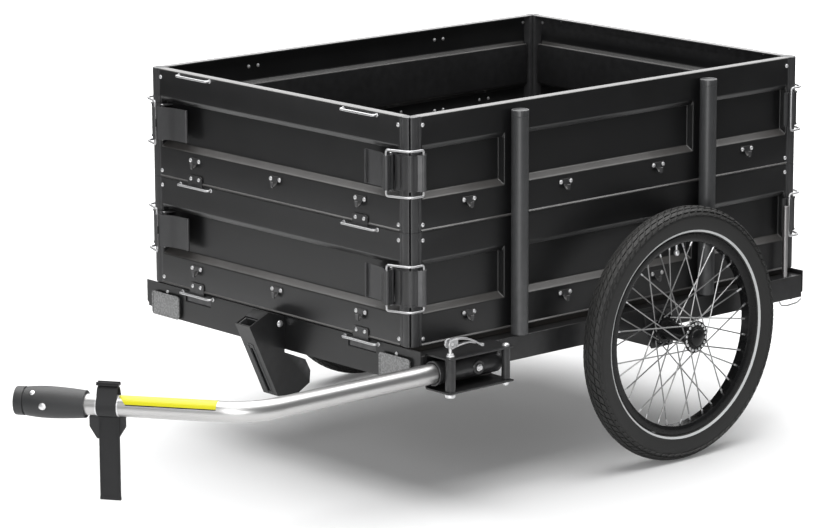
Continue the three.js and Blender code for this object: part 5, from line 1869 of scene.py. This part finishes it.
@dataclass
class ParkingStand:
    """Folded housing with its sliding leg, pivot bolt and wing screw."""

    near: float = 20.0
    far: float = -24.0
    pivot: Pair = (-526.0, 292.0)
    screw: Point = (-2.0, -520.42, 185.70)
    inward: Point = (0.0, 0.9076, 0.4198)
    front: tuple[Pair, Pair] = ((-600.0, 297.0), (-532.0, 150.0))
    slot_half: float = 7.4
    slot_span: Pair = (0.27, 0.975)

    def bolt(self) -> Shape:
        """Pivot bolt through both cheeks.

        Returns:
            The bolt.
        """
        y, z = self.pivot
        shape = Shape().round_bar((self.far - 5.0, y, z), (self.near + 2, y, z), 4.0, 0.5, 24)
        shape.dome((self.near + 0.6, y, z), (1, 0, 0), 7.0, 3.2)
        shape.hex_head((self.far - 0.3, y, z), (self.far - 3.8, y, z), 14.0)
        return shape

    def wing(self) -> Shape:
        """Threaded stem with two thumb wings, along its own Z.

        Returns:
            The screw.
        """
        shape = Shape().round_bar((0, 0, 0.3), (0, 0, 21.0), 3.0, 0.4, 20)
        shape.round_bar((0, 0, 11.0), (0, 0, 19.0), 5.6, 0.8, 28)
        tip = arc((10.0, 24.0), 5.4, -40, 190, 12)
        outline = [(0, 12.5), (4, 12.2), (9, 14.5), *tip, (3.0, 20.5), (0, 19.5)]
        blade = Shape().prism(outline, -1.5, 1.5, Axis.Y).softened(0.8, 2, 40)
        shape.add(blade).add(blade, Matrix.Rotation(math.pi, 4, "Z"))
        return shape.moved(at(*self.screw) @ facing(self.inward))

    def slot_border(self) -> Shape:
        """Raised border round the slot in the housing's front.

        Returns:
            The border.
        """
        middle, (high, low) = self.screw[0], self.slot_span
        left, right = middle - self.slot_half, middle + self.slot_half
        corners = ((middle, high), (right, high), (right, low), (left, low), (left, high), (middle, high))
        (top_y, top_z), (foot_y, foot_z) = self.front
        line = [(x, top_y + (foot_y - top_y) * share, top_z + (foot_z - top_z) * share)
                for x, share in corners]
        return Shape().wire(line, 1.2, 6.0, 2)

    def build(self, finishes: Finishes) -> None:
        """Makes the stand's pieces.

        Args:
            finishes: The finishes that dress the pieces.
        """
        for shape, name, body, finish, *nodes in (
                (self.slot_border(), "housing_slot_border", "chassis", "stake_coat"),
                (Shape.of_node("stand_housing").softened(1.2, 3), "housing_folded", "chassis",
                 "chassis_powder", "stand_housing"),
                (Shape.of_node("stand_leg").softened(1.2, 3), "leg_folded", "stand_slider", "stake_coat",
                 "stand_leg"),
                (self.bolt(), "pivot_bolt", "chassis", "zinc_bright", "stand_pivot_bolt"),
                (self.wing(), "thumb_screw", "stand_clamp", "zinc_bright", "wing_screw")):
            finishes.dress(shape, name, body, finish, *nodes)


@dataclass
class Studio:
    """Camera, soft lights, pale floor and background."""

    target: Point = (-0.2012, 0.329745, 0.2941)
    # Painted pool of light on the floor for rays other than the camera's: its brightness near, its middle
    # and its brightness far out.
    lit_pool_bright: float = 0.74
    lit_pool_middle: Point = (-0.25, -0.25, 0.0)
    lit_pool_dark: float = 0.12
    floor_seen: float = 0.70
    floor_glow: float = 0.08
    # Distances over which the painted pool of light darkens.
    lit_pool_reach: Pair = (1.1, 2.9)
    fade_reach: Pair = (2.3, 4.2)
    sky_colour: tuple[float, ...] = (0.75, 0.76, 0.78, 1.0)
    sky_strength: float = 0.25
    azimuth: float = math.radians(48.7)
    elevation: float = math.radians(12.5)
    roll: float = math.radians(-0.2)
    distance: float = 7.6004
    focal_pixels: float = 3717.8
    image_width: float = 820.0
    sensor: float = 36.0

    def camera(self) -> None:
        """Places the camera as the photograph's."""
        a, e = self.azimuth, self.elevation
        back = Vector((math.sin(a) * math.cos(e), -math.cos(a) * math.cos(e), math.sin(e)))
        right = Vector((math.cos(a), math.sin(a), 0))
        up = back.cross(right)
        c, s = math.cos(self.roll), math.sin(self.roll)
        right, up = right * c + up * s, up * c - right * s
        data = bpy.data.cameras.new("view")
        data.sensor_width = self.sensor
        data.lens = self.focal_pixels * self.sensor / self.image_width
        data.clip_end = 60.0
        holder = bpy.data.objects.new("view", data)
        holder.matrix_world = at(*(Vector(self.target) + back * self.distance)) @ Matrix(
            (right, up, back)).transposed().to_4x4()
        bpy.context.scene.collection.objects.link(holder)
        bpy.context.scene.camera = holder

    def lamp(self, name: str, place: Point, aim: Point, size: Pair, power: float) -> None:
        """Adds one soft rectangular lamp.

        Args:
            name: Name of the lamp.
            place: Where it is.
            aim: Where it points.
            size: Its two sides.
            power: Its power in watts.
        """
        data = bpy.data.lights.new(name, "AREA")
        data.shape = "RECTANGLE"
        data.size, data.size_y = size
        data.energy = power
        holder = bpy.data.objects.new(name, data)
        run = Vector(aim) - Vector(place)
        holder.matrix_world = at(*place) @ run.to_track_quat("-Z", "Y").to_matrix().to_4x4()
        bpy.context.scene.collection.objects.link(holder)

    def floor(self) -> None:
        """Lays a pale floor that keeps the trailer's shadow and fades to white further out; for reflections
        and bounced light it is a painted pool of light, bright round a middle and dark further out.
        """
        data = bpy.data.meshes.new("studio_floor")
        work = bmesh.new()
        bmesh.ops.create_grid(work, x_segments=2, y_segments=2, size=40.0)
        bmesh.ops.translate(work, verts=work.verts, vec=(0, 0, -0.0005))
        work.to_mesh(data)
        work.free()
        ground = bpy.data.objects.new("studio_floor", data)
        bpy.context.scene.collection.objects.link(ground)
        material = bpy.data.materials.new("pale_floor")
        material.use_nodes = True
        tree = material.node_tree
        seen = wired(tree, "LightPath").outputs["Is Camera Ray"]
        place = wired(tree, "TexCoord").outputs["Object"]
        spans = []
        # The first span paints a pool of light for rays other than the camera's; the second fades the seen
        # floor's glow up to white.
        for middle, ends, values in (
                (self.lit_pool_middle, self.lit_pool_reach, (self.lit_pool_bright, self.lit_pool_dark)),
                ((0.0, 0.0, 0.0), self.fade_reach, (self.floor_glow, 1.0))):
            reach = wired(tree, "VectorMath", {0: place, 1: middle}, operation="DISTANCE")
            spans.append(spread(tree, reach.outputs["Value"], values, ends))
        painted_pool, fade = spans
        tone = blended(tree, seen, painted_pool, (self.floor_seen,) * 3)
        glow = wired(tree, "Emission", {"Strength": joined(tree, "MULTIPLY", seen, fade)})
        shader = tree.nodes["Principled BSDF"]
        feed(tree, shader, {"Base Color": tone, "Roughness": 0.9, "Specular IOR Level": 0.1})
        total = wired(tree, "AddShader", {0: shader.outputs[0], 1: glow.outputs[0]})
        feed(tree, tree.nodes["Material Output"], {"Surface": total.outputs[0]})
        data.materials.append(material)

    def sky(self) -> None:
        """Gives a soft even world that is white where it is seen."""
        world = bpy.data.worlds.new("studio")
        bpy.context.scene.world = world
        world.use_nodes = True
        tree = world.node_tree
        plain = tree.nodes["Background"]
        feed(tree, plain, {"Color": self.sky_colour, "Strength": self.sky_strength})
        white = wired(tree, "Background", {"Color": (1, 1, 1, 1), "Strength": 1.0})
        seen = wired(tree, "LightPath").outputs["Is Camera Ray"]
        pick = wired(tree, "MixShader", {0: seen, 1: plain.outputs[0], 2: white.outputs[0]})
        feed(tree, tree.nodes["World Output"], {"Surface": pick.outputs[0]})

    def build(self) -> None:
        """Sets up the whole studio."""
        self.camera()
        self.floor()
        self.sky()
        self.lamp("overhead", (-0.6, 0.9, 3.3), (-0.6, 0.9, 0.0), (5.6, 5.6), 378.0)
        self.lamp("behind", (-3.2, 4.2, 2.2), (0.0, 0.3, 0.5), (6.0, 2.6), 84.0)
        self.lamp("key", (2.4, -3.4, 2.4), (0.0, 0.0, 0.4), (1.6, 2.0), 40.0)
        self.lamp("front", (2.9, -2.7, 0.75), (0.1, 0.0, 0.45), (1.3, 0.7), 42.0)
        bpy.context.scene.view_settings.view_transform = "Standard"


def main() -> None:
    """Builds the studio and every sub-assembly in order."""
    logging.basicConfig(level=logging.INFO, format="%(name)s %(message)s")
    Studio().build()
    finishes = Finishes()
    box = BoxSizes()
    panels = PressedPanels(box)
    panels.build(finishes)
    CornerLatches(box).build(finishes)
    Chassis(box, panels).build(finishes)
    Wheels().build(finishes)
    Drawbar().build(finishes)
    DrawbarSocket().build(finishes)
    ParkingStand().build(finishes)


if __name__ == "__main__":
    main()
